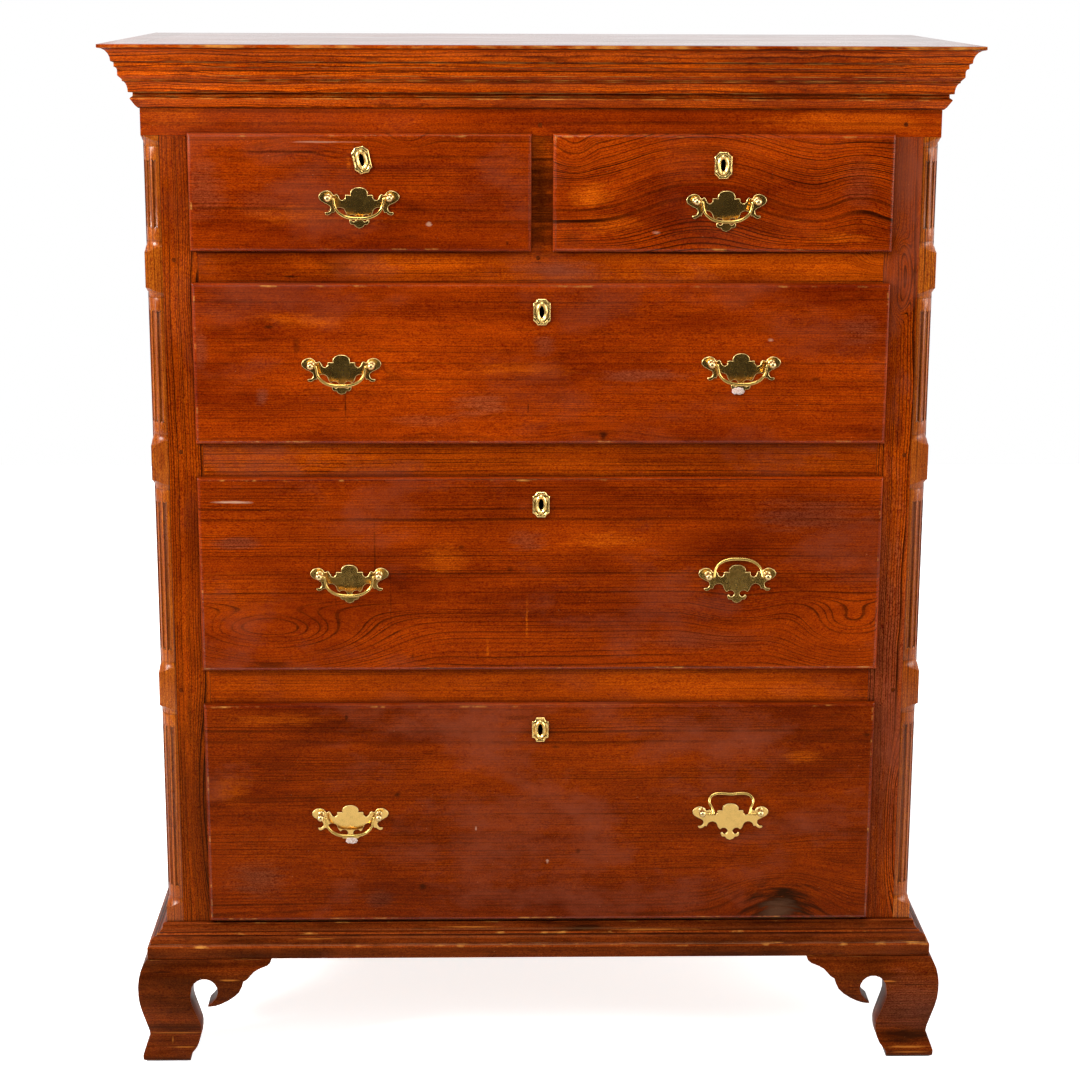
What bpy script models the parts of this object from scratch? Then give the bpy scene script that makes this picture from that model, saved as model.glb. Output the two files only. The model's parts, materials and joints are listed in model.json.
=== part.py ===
"""A tall yellow pine chest of drawers: two short and three long lipped drawers, fluted quarter columns
with square blocks at the front corners, a stepped cornice, a moulded base and ogee bracket feet.

Metres. X runs along the front, Y into the chest and Z up. The shapes are drawn with y = 0 on the
plane of the case front, and an empty puts that plane where the chest's box is centred on the origin."""

import math

import bmesh
import bpy
from mathutils import Vector

# Clearances
GAP = 0.0003            # between two pieces that bear on each other
SIDE_RUN = 0.0015       # beside a drawer, to its guides
TOP_RUN = 0.003         # above a drawer
BACK_RUN = 0.012        # behind a drawer

# Case
CASE_WIDTH = 1.000
CASE_DEPTH = 0.502
FRONT_BOARD = 0.022     # thickness of stile, rail and frieze
SIDE_BOARD = 0.022
STILE_WIDTH = 0.0447
STILE_THICK = 0.034
COLUMN_SQUARE = 0.022   # the corner that column and blocks fill
DIVIDER_WIDTH = 0.044
TOP_BOARD = 0.020
BACK_BOARD = 0.012
BACK_REBATE = 0.011
BACK_SEAMS = 3
SEAM_WIDTH = 0.002
SEAM_DEPTH = 0.003
BOTTOM_BOARD = 0.020

# Heights, from the floor up
FOOT_HEIGHT = 0.1440
CASE_HEIGHT = 1.1215    # from the feet to the cornice
BASE_TO_OPENING = 0.0515
LOW_RAIL = 0.053
MIDDLE_RAIL = 0.051
HIGH_RAIL = 0.047
FRIEZE_SHOWN = 0.0335
OPENING_RATIO = (2.96, 2.505, 1.99, 1.40)

# Runners and guides behind the rails
RUNNER_THICK = 0.018
RUNNER_TREAD = 0.028    # how far a runner reaches under a drawer
GUIDE_HEIGHT = 0.020

# Drawers
LIP_PROUD = 0.010
LIP_SIDE = 0.0085
LIP_EDGE = 0.0035
LIP_ROUND = 0.0045
FRONT_BODY = 0.0125     # thickness of a front behind its lip
DRAWER_SIDE = 0.012
DRAWER_BACK = 0.012
BACK_LOWER = 0.008      # the drawer back stops this far below the sides
BOTTOM_THICK = 0.010
BOTTOM_EDGE = 0.005
BOTTOM_FEATHER = 0.030
GROOVE_DEPTH = 0.005
GROOVE_LIFT = 0.010
TAIL_LENGTH = 0.0105
TAIL_PITCH = 0.050
PIN_NARROW = 0.0025     # half width of a pin at its narrow end
TAIL_SLOPE = 1 / 6

# Quarter columns
COLUMN_RADIUS = 0.0210
BLOCK_HEIGHT = 0.0445   # between the two tips
BLOCK_DROP = 0.004      # block centre below rail centre
SCOOP_LENGTH = 0.0140
SCOOP_SPANS = 3
LEDGE = 0.0008          # the round column stands out this much from the scoop that it meets
FOOT_BLOCK = 0.0195     # full square above the base moulding's top
COLUMN_BAND = 0.015
FLUTE_RADIUS = 0.0031
FLUTE_OUT = 0.0003      # flute centre outside the column's surface
FLUTE_ANGLES = (20, 45, 70)

# Cornice, (share of the projection, share of the height) from its lower edge,
# with how each stretch is reached
CORNICE_HEIGHT = 0.0788
CORNICE_PROJECTION = 0.0442
CORNICE_SHARES = (
    ("line", 0.0339, 0.0), ("line", 0.1109, 0.0419), ("line", 0.2376, 0.1497), ("line", 0.2376, 0.1599),
    ("line", 0.1629, 0.1904), ("line", 0.1584, 0.2449), ("line", 0.276, 0.2513), ("up", 0.4095, 0.4264),
    ("line", 0.4095, 0.4518), ("line", 0.5181, 0.5152), ("line", 0.5181, 0.5914),
    ("up", 0.5973, 0.6472), ("line", 0.5973, 0.7157), ("line", 0.6742, 0.736), ("up", 0.9842, 0.9442),
    ("line", 1.0, 0.9492), ("line", 1.0, 1.0),
)

# Base moulding, told the same way
BASE_HEIGHT = 0.0446
BASE_PROJECTION = 0.0245
BASE_SHARES = (
    ("line", 1.0, 0.0), ("line", 1.0, 0.3587), ("line", 0.9592, 0.3946), ("line", 0.8408, 0.4036),
    ("line", 0.849, 0.4596), ("up", 0.5796, 0.6637), ("line", 0.5061, 0.6816), ("line", 0.5143, 0.722),
    ("out", 0.2204, 0.9462), ("line", 0.1837, 0.9776), ("line", 0.0816, 1.0),
)

# Feet. Section: (share of the projection, share of the height).
# Outline: (share of the wing's length from the case corner, share of the height)
FOOT_PROJECTION = 0.0368
FOOT_WING = 0.141
FOOT_BLOCK_SIDE = 0.022
BRACKET_INNER = 0.004
OGEE_SHARES = (
    (0.7174, 1.0), (0.913, 0.9), (1.0, 0.76), (0.9674, 0.6), (0.8342, 0.445), (0.6984, 0.31),
    (0.6576, 0.245),
)
PAD_SHARES = (
    (0.8967, 0.081), (0.9103, 0.067), (0.8995, 0.024), (0.7935, 0.0),
)
LOBE_SHARES = (
    (1.0, 1.0), (0.9887, 0.972), (0.9574, 0.948), (0.9206, 0.936),
)
HOLLOW_SHARES = (
    (0.9206, 0.936), (0.8404, 0.9), (0.7759, 0.832), (0.7376, 0.811),
)
SWEEP_SHARES = (
    (0.7376, 0.811), (0.695, 0.705), (0.5837, 0.616), (0.4645, 0.563), (0.3901, 0.556),
)
SPUR_SHARES = (
    (0.4291, 0.59), (0.4766, 0.65),
)
PIERCE_SHARES = (0.3652, 0.709)
PIERCE_RADIUS = 0.018
LEG_SHARES = (
    (0.2376, 0.709), (0.2312, 0.617), (0.266, 0.498), (0.305, 0.379), (0.3163, 0.316), (0.3078, 0.225),
    (0.2766, 0.14), (0.227, 0.084),
)
LEG_PAD_SHARES = (
    (0.2128, 0.063), (0.2092, 0.0),
)
REAR_BRACKET = 0.018
REAR_SHARES = (
    (0.0, 0.0), (0.2411, 0.0), (0.2695, 0.42), (0.7801, 0.79), (0.7801, 1.0), (0.0, 1.0),
)

# Pulls: half of the plate's outline, (across, up) from the middle of the line through the posts
PLATE_THICK = 0.0016
POST_SPACING = 0.0384
POST_FOOT = 0.0044
POST_STEM = 0.0029
POST_BALL = 0.0040
BALL_OUT = 0.0150        # ball centre and bail axis to the plate's face
PIN_RADIUS = 0.0013
PIN_CLEAR = 0.0004
BAIL_ARM = 0.0018
BAIL_GRIP = 0.0023
BEAD_PLACE = 0.0306
BEAD_RADIUS = 0.0024
PLATE_TOP_LOBE = ((0.0, 0.0123), (0.0048, 0.0117), (0.0090, 0.0091), (0.0108, 0.0053), (0.0105, 0.0025))
PLATE_CUSP = (
    (0.0168, 0.0027), (0.0173, -0.0007), (0.0205, -0.0037), (0.0240, -0.0022), (0.0262, 0.0022),
    (0.0280, 0.0038), (0.0306, 0.0026), (0.0324, 0.0026),
)
PLATE_SIDE_LOBE = (
    (0.0324, 0.0026), (0.0352, 0.0066), (0.0402, 0.0082), (0.0462, 0.0066), (0.0503, 0.0018),
    (0.0488, -0.0033), (0.0438, -0.0068), (0.0374, -0.0102), (0.0357, -0.0135), (0.0364, -0.0165),
)
PLATE_TAIL = (
    (0.0387, -0.0186), (0.0426, -0.0190), (0.0422, -0.0212), (0.0396, -0.0222), (0.0365, -0.0212),
    (0.0338, -0.0190), (0.0314, -0.0194),
)
PLATE_HOLLOW = (
    (0.0314, -0.0194), (0.0290, -0.0146), (0.0238, -0.0126), (0.0187, -0.0148), (0.0163, -0.0205),
)
PLATE_NECK = (
    (0.0135, -0.0237), (0.0104, -0.0217), (0.0062, -0.0221), (0.0034, -0.0258), (0.0038, -0.0290),
)
PLATE_DROP = (
    (0.0064, -0.0316), (0.0092, -0.0314), (0.0110, -0.0294), (0.0104, -0.0322), (0.0078, -0.0338),
    (0.0048, -0.0346), (0.0036, -0.0366), (0.0, -0.0386),
)
BAIL_PLAIN = (
    (0.0302, -0.0010), (0.0306, -0.0057), (0.0291, -0.0118), (0.0250, -0.0176), (0.0181, -0.0221),
    (0.0092, -0.0245), (0.0, -0.0249),
)
SWAN_RISE = 0.0036       # the beaded bail's posts stand this much higher on their plate
BAIL_SWAN = (
    (0.0234, -0.0012), (0.0256, -0.0076), (0.0285, -0.0138), (0.0286, -0.0200), (0.0247, -0.0254),
    (0.0175, -0.0276), (0.0085, -0.0274), (0.0, -0.0266),
)

# Keyhole furniture
KEYHOLE_WIDTH = 0.006
KEYHOLE_HEIGHT = 0.0155
PLATE_RING_WIDTH = 0.0222
PLATE_RING_HEIGHT = 0.0340
PLATE_RING_CHAMFER = 0.0056
RING_THICK = 0.0028
RING_EDGE = 0.0012
LOCK_WIDTH = 0.058
LOCK_BODY = 0.0085
LOCK_PLATE = 0.0016
LOCK_BORDER = 0.006
LOCK_BELOW = 0.018      # lock case below the keyhole's middle
LOCK_SELVAGE = 0.0015

# Drawers from the top left, each with its pulls and keyhole: row, side,
# pulls (x, below the opening's top, bail), keyhole (x, below, tilt)
DRAWERS = (
    ("drawer_1", 3, -1, ((-0.2290, 0.0752, "hangs"),), (-0.2252, 0.0290, 12)),
    ("drawer_2", 3, 1, ((0.2310, 0.0788, "hangs"),), (0.2262, 0.0349, 0)),
    ("drawer_3", 2, 0, ((-0.2543, 0.0992, "hangs"), (0.2540, 0.0972, "hangs")), (0.0, 0.0323, 0)),
    ("drawer_4", 1, 0, ((-0.2480, 0.1234, "hangs"), (0.2553, 0.1242, "raised")), (0.0, 0.0316, 0)),
    ("drawer_5", 0, 0, ((-0.2515, 0.1480, "hangs"), (0.2535, 0.1475, "raised swan")), (0.0, 0.0317, 0)),
)

# Places worked out from the sizes above
HALF = CASE_WIDTH / 2
INNER = HALF - SIDE_BOARD
STILE_OUT = HALF - COLUMN_SQUARE - GAP
STILE_IN = HALF - COLUMN_SQUARE - STILE_WIDTH
BACK_FACE = CASE_DEPTH - BACK_BOARD
CASE_BOTTOM = FOOT_HEIGHT + GAP
RAIL_HEIGHTS = (LOW_RAIL, MIDDLE_RAIL, HIGH_RAIL)
CORNICE_LOW = FOOT_HEIGHT + CASE_HEIGHT
FRIEZE_LOW = CORNICE_LOW - FRIEZE_SHOWN
OPENINGS_TOGETHER = CASE_HEIGHT - BASE_TO_OPENING - sum(RAIL_HEIGHTS) - FRIEZE_SHOWN
OPENING_LOW = []
OPENING_HIGH = []
level = FOOT_HEIGHT + BASE_TO_OPENING
for ratio, rail in zip(OPENING_RATIO, RAIL_HEIGHTS + (0,)):
    OPENING_LOW.append(level)
    level += OPENINGS_TOGETHER * ratio / sum(OPENING_RATIO)
    OPENING_HIGH.append(level)
    level += rail
TOP = CORNICE_LOW + CORNICE_HEIGHT
TOP_BOARD_LOW = TOP - TOP_BOARD
FRONT_Y = (CORNICE_PROJECTION - CASE_DEPTH) / 2


def clear_scene():
    for obj in list(bpy.data.objects):
        bpy.data.objects.remove(obj, do_unlink=True)


def surface(name, colour, roughness, metallic=0.0):
    material = bpy.data.materials.new(name)
    material.use_nodes = True
    shader = material.node_tree.nodes["Principled BSDF"]
    shader.inputs["Base Color"].default_value = (*colour, 1.0)
    shader.inputs["Roughness"].default_value = roughness
    shader.inputs["Metallic"].default_value = metallic
    material.diffuse_color = (*colour, 1.0)
    return material


def put(name, bm, material, parent, location=(0, 0, 0), smooth=False):
    """One named piece, from its bmesh."""
    bmesh.ops.recalc_face_normals(bm, faces=bm.faces)
    mesh = bpy.data.meshes.new(name)
    bm.to_mesh(mesh)
    bm.free()
    if smooth:
        mesh.shade_smooth()
        mesh.set_sharp_from_angle(angle=math.radians(35))
    if material:
        mesh.materials.append(material)
    obj = bpy.data.objects.new(name, mesh)
    obj.parent = parent
    obj.location = location
    bpy.context.scene.collection.objects.link(obj)
    return obj


def tool(target, name, bm, operation):
    """A hidden shape that cuts or joins the target by a Boolean modifier."""
    helper = put(name, bm, None, target.parent, target.location)
    helper.hide_render = True
    helper.display_type = "WIRE"
    modifier = target.modifiers.new(name, "BOOLEAN")
    modifier.operation = operation
    modifier.object = helper
    modifier.solver = "EXACT"
    return helper


def cut(target, name, bm):
    return tool(target, f"{target.name}.{name}", bm, "DIFFERENCE")


def join(target, name, bm):
    return tool(target, f"{target.name}.{name}", bm, "UNION")


def smooth(points, steps=2):
    """A Catmull-Rom curve through the points, with this many spans between two of them."""
    ends = [points[0], *points, points[-1]]
    curve = []
    for a, b, c, d in zip(ends, ends[1:], ends[2:], ends[3:]):
        for i in range(steps):
            t = i / steps
            curve.append(tuple(
                0.5 * (2 * q + (r - p) * t + (2 * p - 5 * q + 4 * r - s) * t**2
                       + (3 * q - p - 3 * r + s) * t**3)
                for p, q, r, s in zip(a, b, c, d)
            ))
    return curve + [points[-1]]


def moulding(steps, projection, rise_of_all, spans=5):
    """Profile points: straight lines, and quarter ellipses that leave going up or going across."""
    points = [(steps[0][1] * projection, steps[0][2] * rise_of_all)]
    for kind, across_share, height_share in steps[1:]:
        across, height = across_share * projection, height_share * rise_of_all
        start, rise = points[-1]
        for i in range(1, spans) if kind != "line" else ():
            angle = math.pi / 2 * i / spans
            near, far = 1 - math.cos(angle), math.sin(angle)
            if kind != "up":
                near, far = far, near
            points.append((start + (across - start) * near, rise + (height - rise) * far))
        points.append((across, height))
    return points


def add_loft(bm, rings):
    """Closed rings of equal length joined in turn, with both ends capped."""
    made = [[bm.verts.new(point) for point in ring] for ring in rings]
    for low, high in zip(made, made[1:]):
        for i in range(len(low)):
            j = (i + 1) % len(low)
            bm.faces.new((low[i], low[j], high[j], high[i]))
    bm.faces.new(made[0])
    bm.faces.new(made[-1])


def loft(rings):
    bm = bmesh.new()
    add_loft(bm, rings)
    return bm


PLACE = {"X": lambda a, b, c: (c, a, b), "Y": lambda a, b, c: (a, c, b), "Z": lambda a, b, c: (a, b, c)}


def add_prism(bm, outline, axis, low, high):
    """An outline pushed along an axis. Its pairs are (y, z) along X, (x, z) along Y and (x, y) along Z."""
    at = PLACE[axis]
    add_loft(bm, [[at(a, b, end) for a, b in outline] for end in (low, high)])


def prism(outline, axis, low, high):
    bm = bmesh.new()
    add_prism(bm, outline, axis, low, high)
    return bm


def rectangle(a0, a1, b0, b1):
    return [(a0, b0), (a1, b0), (a1, b1), (a0, b1)]


def add_box(bm, x, y, z):
    add_prism(bm, rectangle(*x, *y), "Z", *z)


def box(*bounds):
    """One block, or several apart from each other, from (x, y, z) pairs of limits."""
    bm = bmesh.new()
    for x, y, z in bounds:
        add_box(bm, x, y, z)
    return bm


def mirrored(outline, side):
    """The outline itself for the right side, and its mirror image for the left."""
    return [(side * a, b) for a, b in outline]


def span(side, near, far):
    """Limits along X between two distances from the middle, on one side."""
    return tuple(sorted((side * near, side * far)))


def around_case(profile, z):
    """Profile (projection, height) swept along the left side, the front and the right side, with mitred
    corners."""
    rings = []
    for across, deep in ((-1, False), (-1, True), (1, True), (1, False)):
        rings.append([(across * (HALF + out), -out if deep else CASE_DEPTH, z + up)
                      for out, up in profile])
    return loft(rings)


# Case

def case_sides(pine, case):
    for name, side in (("left_side", -1), ("right_side", 1)):
        outline = [(INNER, COLUMN_SQUARE + GAP), (HALF, COLUMN_SQUARE + GAP), (HALF, CASE_DEPTH),
                   (INNER + BACK_REBATE, CASE_DEPTH), (INNER + BACK_REBATE, BACK_FACE), (INNER, BACK_FACE)]
        bm = prism(mirrored(outline, side), "Z", CASE_BOTTOM, TOP_BOARD_LOW - GAP)
        put(name, bm, pine, case)


def stiles(pine, case):
    for name, side in (("left_stile", -1), ("right_stile", 1)):
        bm = box((span(side, STILE_IN, STILE_OUT), (0, STILE_THICK), (CASE_BOTTOM, FRIEZE_LOW - GAP)))
        put(name, bm, pine, case)


def bearers(top, side_start):
    """Two runners behind the stiles, with their upper face at this height, as bounds for boxes."""
    low = top - RUNNER_THICK
    return [(span(side, STILE_IN - RUNNER_TREAD, INNER - GAP), (side_start, BACK_FACE - GAP), (low, top))
            for side in (-1, 1)]


def guides(top):
    """Two strips on the runners that keep a drawer from moving sideways."""
    return [(span(side, STILE_IN, INNER - GAP), (STILE_THICK + GAP, BACK_FACE - GAP),
             (top - GAP, top + GUIDE_HEIGHT)) for side in (-1, 1)]


def runner_tongues(top):
    """The narrow ends that carry the runners forward between the stiles into the rail."""
    return [(span(side, STILE_IN - RUNNER_TREAD, STILE_IN - GAP), (FRONT_BOARD / 2, STILE_THICK + 2 * GAP),
             (top - RUNNER_THICK, top - GAP / 2)) for side in (-1, 1)]


def rails(pine, case):
    """Each rail with the runners that are tenoned into its back and the guides on them."""
    for i, height in enumerate(RAIL_HEIGHTS):
        top = OPENING_LOW[i + 1]
        name = f"rail_{len(RAIL_HEIGHTS) - i}"
        board = box((span(1, -STILE_IN + GAP, STILE_IN - GAP), (0, FRONT_BOARD), (top - height, top)))
        rail = put(name, board, pine, case)
        join(rail, "tongues", box(*runner_tongues(top)))
        join(rail, "runners", box(*bearers(top, STILE_THICK + GAP)))
        join(rail, "guides", box(*guides(top)))
        if i == len(RAIL_HEIGHTS) - 1:
            centre_divider(rail, top)


def centre_divider(rail, top):
    """The upright between the two top drawers, with the runner and guide that they share behind it."""
    half = DIVIDER_WIDTH / 2
    upright = box(((-half, half), (0, FRONT_BOARD - GAP), (top - 2 * GAP, FRIEZE_LOW - GAP)))
    join(rail, "upright", upright)
    reach = half + RUNNER_TREAD
    runner = box(((-reach, reach), (FRONT_BOARD / 2, BACK_FACE - GAP),
                  (top - RUNNER_THICK, top - GAP / 2)))
    join(rail, "middle_runner", runner)
    guide = box(((-half, half), (FRONT_BOARD - 2 * GAP, BACK_FACE - GAP),
                 (top - GAP, top + GUIDE_HEIGHT)))
    join(rail, "middle_guide", guide)


def frieze(pine, case):
    """The top board of the front, with the kickers that keep the top drawers level when they are out."""
    board = box(((-HALF, HALF), (0, FRONT_BOARD), (FRIEZE_LOW, TOP_BOARD_LOW - GAP)))
    board = put("frieze_board", board, pine, case)
    low = FRIEZE_LOW + GAP
    reach = DIVIDER_WIDTH / 2 + RUNNER_TREAD
    deep = (FRONT_BOARD / 2, BACK_FACE - GAP)
    level = (low, low + RUNNER_THICK)
    kickers = [(span(side, STILE_IN - RUNNER_TREAD, INNER - GAP), deep, level) for side in (-1, 1)]
    kickers.append(((-reach, reach), deep, level))
    join(board, "kickers", box(*kickers))


def bottom_board(pine, case):
    """The case bottom, which carries the lowest drawer and is notched round the stiles."""
    top = OPENING_LOW[0]
    notch = STILE_THICK + GAP
    plan = [(STILE_IN - GAP, 0), (STILE_IN - GAP, notch), (INNER - GAP, notch),
            (INNER - GAP, BACK_FACE - GAP)]
    plan += [(-x, y) for x, y in reversed(plan)]
    board = put("bottom_board", prism(plan, "Z", top - BOTTOM_BOARD, top), pine, case)
    join(board, "guides", box(*guides(top)))


def top_board(pine, case):
    bm = box(((-HALF, HALF), (0, CASE_DEPTH), (TOP_BOARD_LOW, TOP)))
    put("top_board", bm, pine, case)


def back_boards(pine, case):
    """Level boards edge to edge, with a narrow open seam on the outside at each joint."""
    half = INNER + BACK_REBATE - GAP
    low = OPENING_LOW[0] - BOTTOM_BOARD
    high = TOP_BOARD_LOW - GAP
    outline = [(BACK_FACE, low), (CASE_DEPTH, low)]
    for i in range(1, BACK_SEAMS + 1):
        z = low + (high - low) * i / (BACK_SEAMS + 1)
        outline += [(CASE_DEPTH, z - SEAM_WIDTH / 2), (CASE_DEPTH - SEAM_DEPTH, z - SEAM_WIDTH / 2),
                    (CASE_DEPTH - SEAM_DEPTH, z + SEAM_WIDTH / 2), (CASE_DEPTH, z + SEAM_WIDTH / 2)]
    outline += [(CASE_DEPTH, high), (BACK_FACE, high)]
    put("back_boards", prism(outline, "X", -half, half), pine, case)


def cornice(pine, case):
    profile = moulding(CORNICE_SHARES, CORNICE_PROJECTION, CORNICE_HEIGHT)
    profile = [(GAP, 0.0), *profile, (GAP, CORNICE_HEIGHT)]
    put("cornice", around_case(profile, CORNICE_LOW), pine, case, smooth=True)


def base_moulding(pine, case):
    profile = moulding(BASE_SHARES, BASE_PROJECTION, BASE_HEIGHT)
    profile = [(GAP, 0.0), *profile, (GAP, BASE_HEIGHT)]
    put("base_moulding", around_case(profile, CASE_BOTTOM), pine, case, smooth=True)


# Quarter columns

def column_joints():
    """Heights where a square block meets the round column, from the floor up."""
    base_top = FOOT_HEIGHT + BASE_HEIGHT
    joints = [base_top + FOOT_BLOCK + SCOOP_LENGTH]
    for i, height in enumerate(RAIL_HEIGHTS):
        middle = OPENING_LOW[i + 1] - height / 2 - BLOCK_DROP
        reach = BLOCK_HEIGHT / 2 + SCOOP_LENGTH
        joints += [middle - reach, middle + reach]
    joints.append(FRIEZE_LOW - GAP - SCOOP_LENGTH)
    return joints


def turned_profile(joints):
    """Radius and height up the whole corner: as turned from square stock, with a hollow beside each round
    stretch."""
    corner = math.sqrt(2) * COLUMN_SQUARE
    least = COLUMN_RADIUS - LEDGE
    proud = corner - least
    radius = (proud**2 + SCOOP_LENGTH**2) / (2 * proud)
    widest = math.acos(1 - 1.1 * proud / radius)
    profile = []
    for i, joint in enumerate(joints):
        down = 1 if i % 2 == 0 else -1
        hollow = []
        for k in range(SCOOP_SPANS + 1):
            angle = widest * (1 - k / SCOOP_SPANS)
            out = radius * (1 - math.cos(angle))
            hollow.append((least + out, joint - down * radius * math.sin(angle)))
        hollow.append((COLUMN_RADIUS, joint))
        profile += hollow if down == 1 else hollow[::-1]
    return profile


def turning(side, profile, spans=6):
    """The profile turned round the inner corner, a little past both faces that stand against the case."""
    inner = HALF - COLUMN_SQUARE
    middle = (side * (inner - COLUMN_RADIUS / 4), COLUMN_SQUARE + COLUMN_RADIUS / 4)
    rings = []
    for radius, z in profile:
        arc = [math.pi / 2 * i / spans for i in range(-1, spans + 2)]
        ring = [(side * (inner + radius * math.sin(a)), COLUMN_SQUARE - radius * math.cos(a), z)
                for a in arc]
        rings.append([(*middle, z), *ring])
    return loft(rings)


def flute(side, angle, low, high, sides=8, rings=2):
    """A round-ended upright rod that cuts one flute."""
    inner = HALF - COLUMN_SQUARE
    out = COLUMN_RADIUS + FLUTE_OUT
    x = side * (inner + out * math.sin(angle))
    y = COLUMN_SQUARE - out * math.cos(angle)
    sections = []
    for i in range(rings + 1):
        tilt = math.pi / 2 * (i + 0.35) / (rings + 0.35)
        radius = FLUTE_RADIUS * math.cos(math.pi / 2 - tilt)
        sections.append((low + FLUTE_RADIUS * (1 - math.sin(tilt)), radius))
    sections += [(high + low - z, r) for z, r in reversed(sections)]
    return [[(x + r * math.cos(2 * math.pi * k / sides), y + r * math.sin(2 * math.pi * k / sides), z)
             for k in range(sides)] for z, r in sections]


def corner_columns(pine, case):
    joints = column_joints()
    widest = 2 * COLUMN_SQUARE
    profile = [(widest, CASE_BOTTOM - SCOOP_LENGTH), *turned_profile(joints),
               (widest, FRIEZE_LOW + SCOOP_LENGTH)]
    for name, side in (("left_corner_column", -1), ("right_corner_column", 1)):
        square = (span(side, HALF - COLUMN_SQUARE, HALF), (0, COLUMN_SQUARE),
                  (CASE_BOTTOM, FRIEZE_LOW - GAP))
        column = put(name, box(square), pine, case, smooth=True)
        tool(column, f"{name}.turning", turning(side, profile), "INTERSECT")
        flutes = bmesh.new()
        for low, high in zip(joints[::2], joints[1::2]):
            for angle in FLUTE_ANGLES:
                rod = flute(side, math.radians(angle), low + COLUMN_BAND, high - COLUMN_BAND)
                add_loft(flutes, rod)
        cut(column, "flutes", flutes)


# Bracket feet

def foot_profile():
    """Cross-section of a bracket, (projection, height), closed along its inner face."""
    section = smooth(OGEE_SHARES) + list(PAD_SHARES)
    outer = [(out * FOOT_PROJECTION, share * FOOT_HEIGHT) for out, share in section]
    return outer + [(-BRACKET_INNER, 0.0), (-BRACKET_INNER, FOOT_HEIGHT)]


def foot_waste():
    """The wood sawn away below the wing, round the spur and the piercing and beside the leg."""
    turns = 9
    inward, share = PIERCE_SHARES
    pierce = [(inward + PIERCE_RADIUS * math.cos(math.pi * i / turns) / FOOT_WING,
               share + PIERCE_RADIUS * math.sin(math.pi * i / turns) / FOOT_HEIGHT) for i in range(turns)]
    edge = list(LOBE_SHARES[:-1]) + smooth(HOLLOW_SHARES)[:-1] + smooth(SWEEP_SHARES)
    edge += [*SPUR_SHARES, *pierce, *smooth(LEG_SHARES), *LEG_PAD_SHARES]
    edge = [(inward * FOOT_WING, share * FOOT_HEIGHT) for inward, share in edge]
    below = -FOOT_HEIGHT / 4
    beyond = FOOT_WING * 1.2
    above = FOOT_HEIGHT * 1.1
    return [(edge[0][0], above), *edge, (edge[-1][0], below), (beyond, below), (beyond, above)]


def side_waste(foot, side, along):
    """The waste of a wing that runs along the side of the case."""
    through = span(side, HALF - 2 * BRACKET_INNER, HALF + 3 * CORNICE_PROJECTION)
    cut(foot, "side_waste", prism(along, "X", *through))


def front_feet(pine, case):
    profile = foot_profile()
    waste = foot_waste()
    for name, side in (("front_left_foot", -1), ("front_right_foot", 1)):
        rings = [[(side * (HALF - FOOT_WING), -out, z) for out, z in profile],
                 [(side * (HALF + out), -out, z) for out, z in profile],
                 [(side * (HALF + out), FOOT_WING, z) for out, z in profile]]
        foot = put(name, loft(rings), pine, case, smooth=True)
        across = [(side * (HALF - inward), z) for inward, z in waste]
        cut(foot, "front_waste", prism(across, "Y", -3 * CORNICE_PROJECTION, 2 * BRACKET_INNER))
        side_waste(foot, side, waste)
        block = box((span(side, HALF - FOOT_BLOCK_SIDE, HALF), (0, FOOT_BLOCK_SIDE),
                     (GAP, FOOT_HEIGHT - GAP)))
        join(foot, "glue_block", block)


def rear_feet(pine, case):
    profile = foot_profile()
    waste = foot_waste()
    for name, side in (("rear_left_foot", -1), ("rear_right_foot", 1)):
        rings = [[(side * (HALF + out), y, z) for out, z in profile]
                 for y in (CASE_DEPTH - FOOT_WING, CASE_DEPTH)]
        foot = put(name, loft(rings), pine, case, smooth=True)
        side_waste(foot, side, [(CASE_DEPTH - inward, z) for inward, z in waste])
        plain = [(side * (HALF - inward * FOOT_WING), share * FOOT_HEIGHT)
                 for inward, share in REAR_SHARES]
        join(foot, "rear_board", prism(plain, "Y", CASE_DEPTH - REAR_BRACKET, CASE_DEPTH - GAP))
        block = box((span(side, HALF - FOOT_BLOCK_SIDE, HALF - GAP),
                     (CASE_DEPTH - REAR_BRACKET - FOOT_BLOCK_SIDE, CASE_DEPTH - 2 * GAP),
                     (GAP, FOOT_HEIGHT - GAP)))
        join(foot, "glue_block", block)


# Drawers

class Room:
    """The opening that a drawer fills, and the drawer's own limits inside it."""

    def __init__(self, row, side):
        self.low = OPENING_LOW[row]
        self.high = OPENING_HIGH[row]
        self.left = -STILE_IN if side < 1 else DIVIDER_WIDTH / 2
        self.right = STILE_IN if side > -1 else -DIVIDER_WIDTH / 2
        self.x0 = self.left + SIDE_RUN
        self.x1 = self.right - SIDE_RUN
        self.z0 = self.low + GAP
        self.z1 = self.high - TOP_RUN
        self.back = BACK_FACE - BACK_RUN
        self.groove = self.z0 + GROOVE_LIFT


def tails(room, clear):
    """Outline of a drawer side, (y, z), with dovetails at the front. Clear widens the tails for their
    sockets."""
    height = room.z1 - room.z0
    count = max(2, round(height / TAIL_PITCH))
    root = FRONT_BODY
    tip = FRONT_BODY - TAIL_LENGTH - clear
    narrow = PIN_NARROW - clear
    wide = narrow + (root - tip) * TAIL_SLOPE
    outline = [(root, room.z0)]
    for i in range(count):
        low = room.z0 + height * i / count
        high = room.z0 + height * (i + 1) / count
        outline += [(root, low + wide), (tip, low + narrow), (tip, high - narrow), (root, high - wide)]
    return outline + [(root, room.z1), (room.back, room.z1), (room.back, room.z0)]


def sockets(room):
    """The same tails a little larger, and cut off just behind the front's inner face."""
    outline = tails(room, GAP)
    return outline[1:-3]


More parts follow.
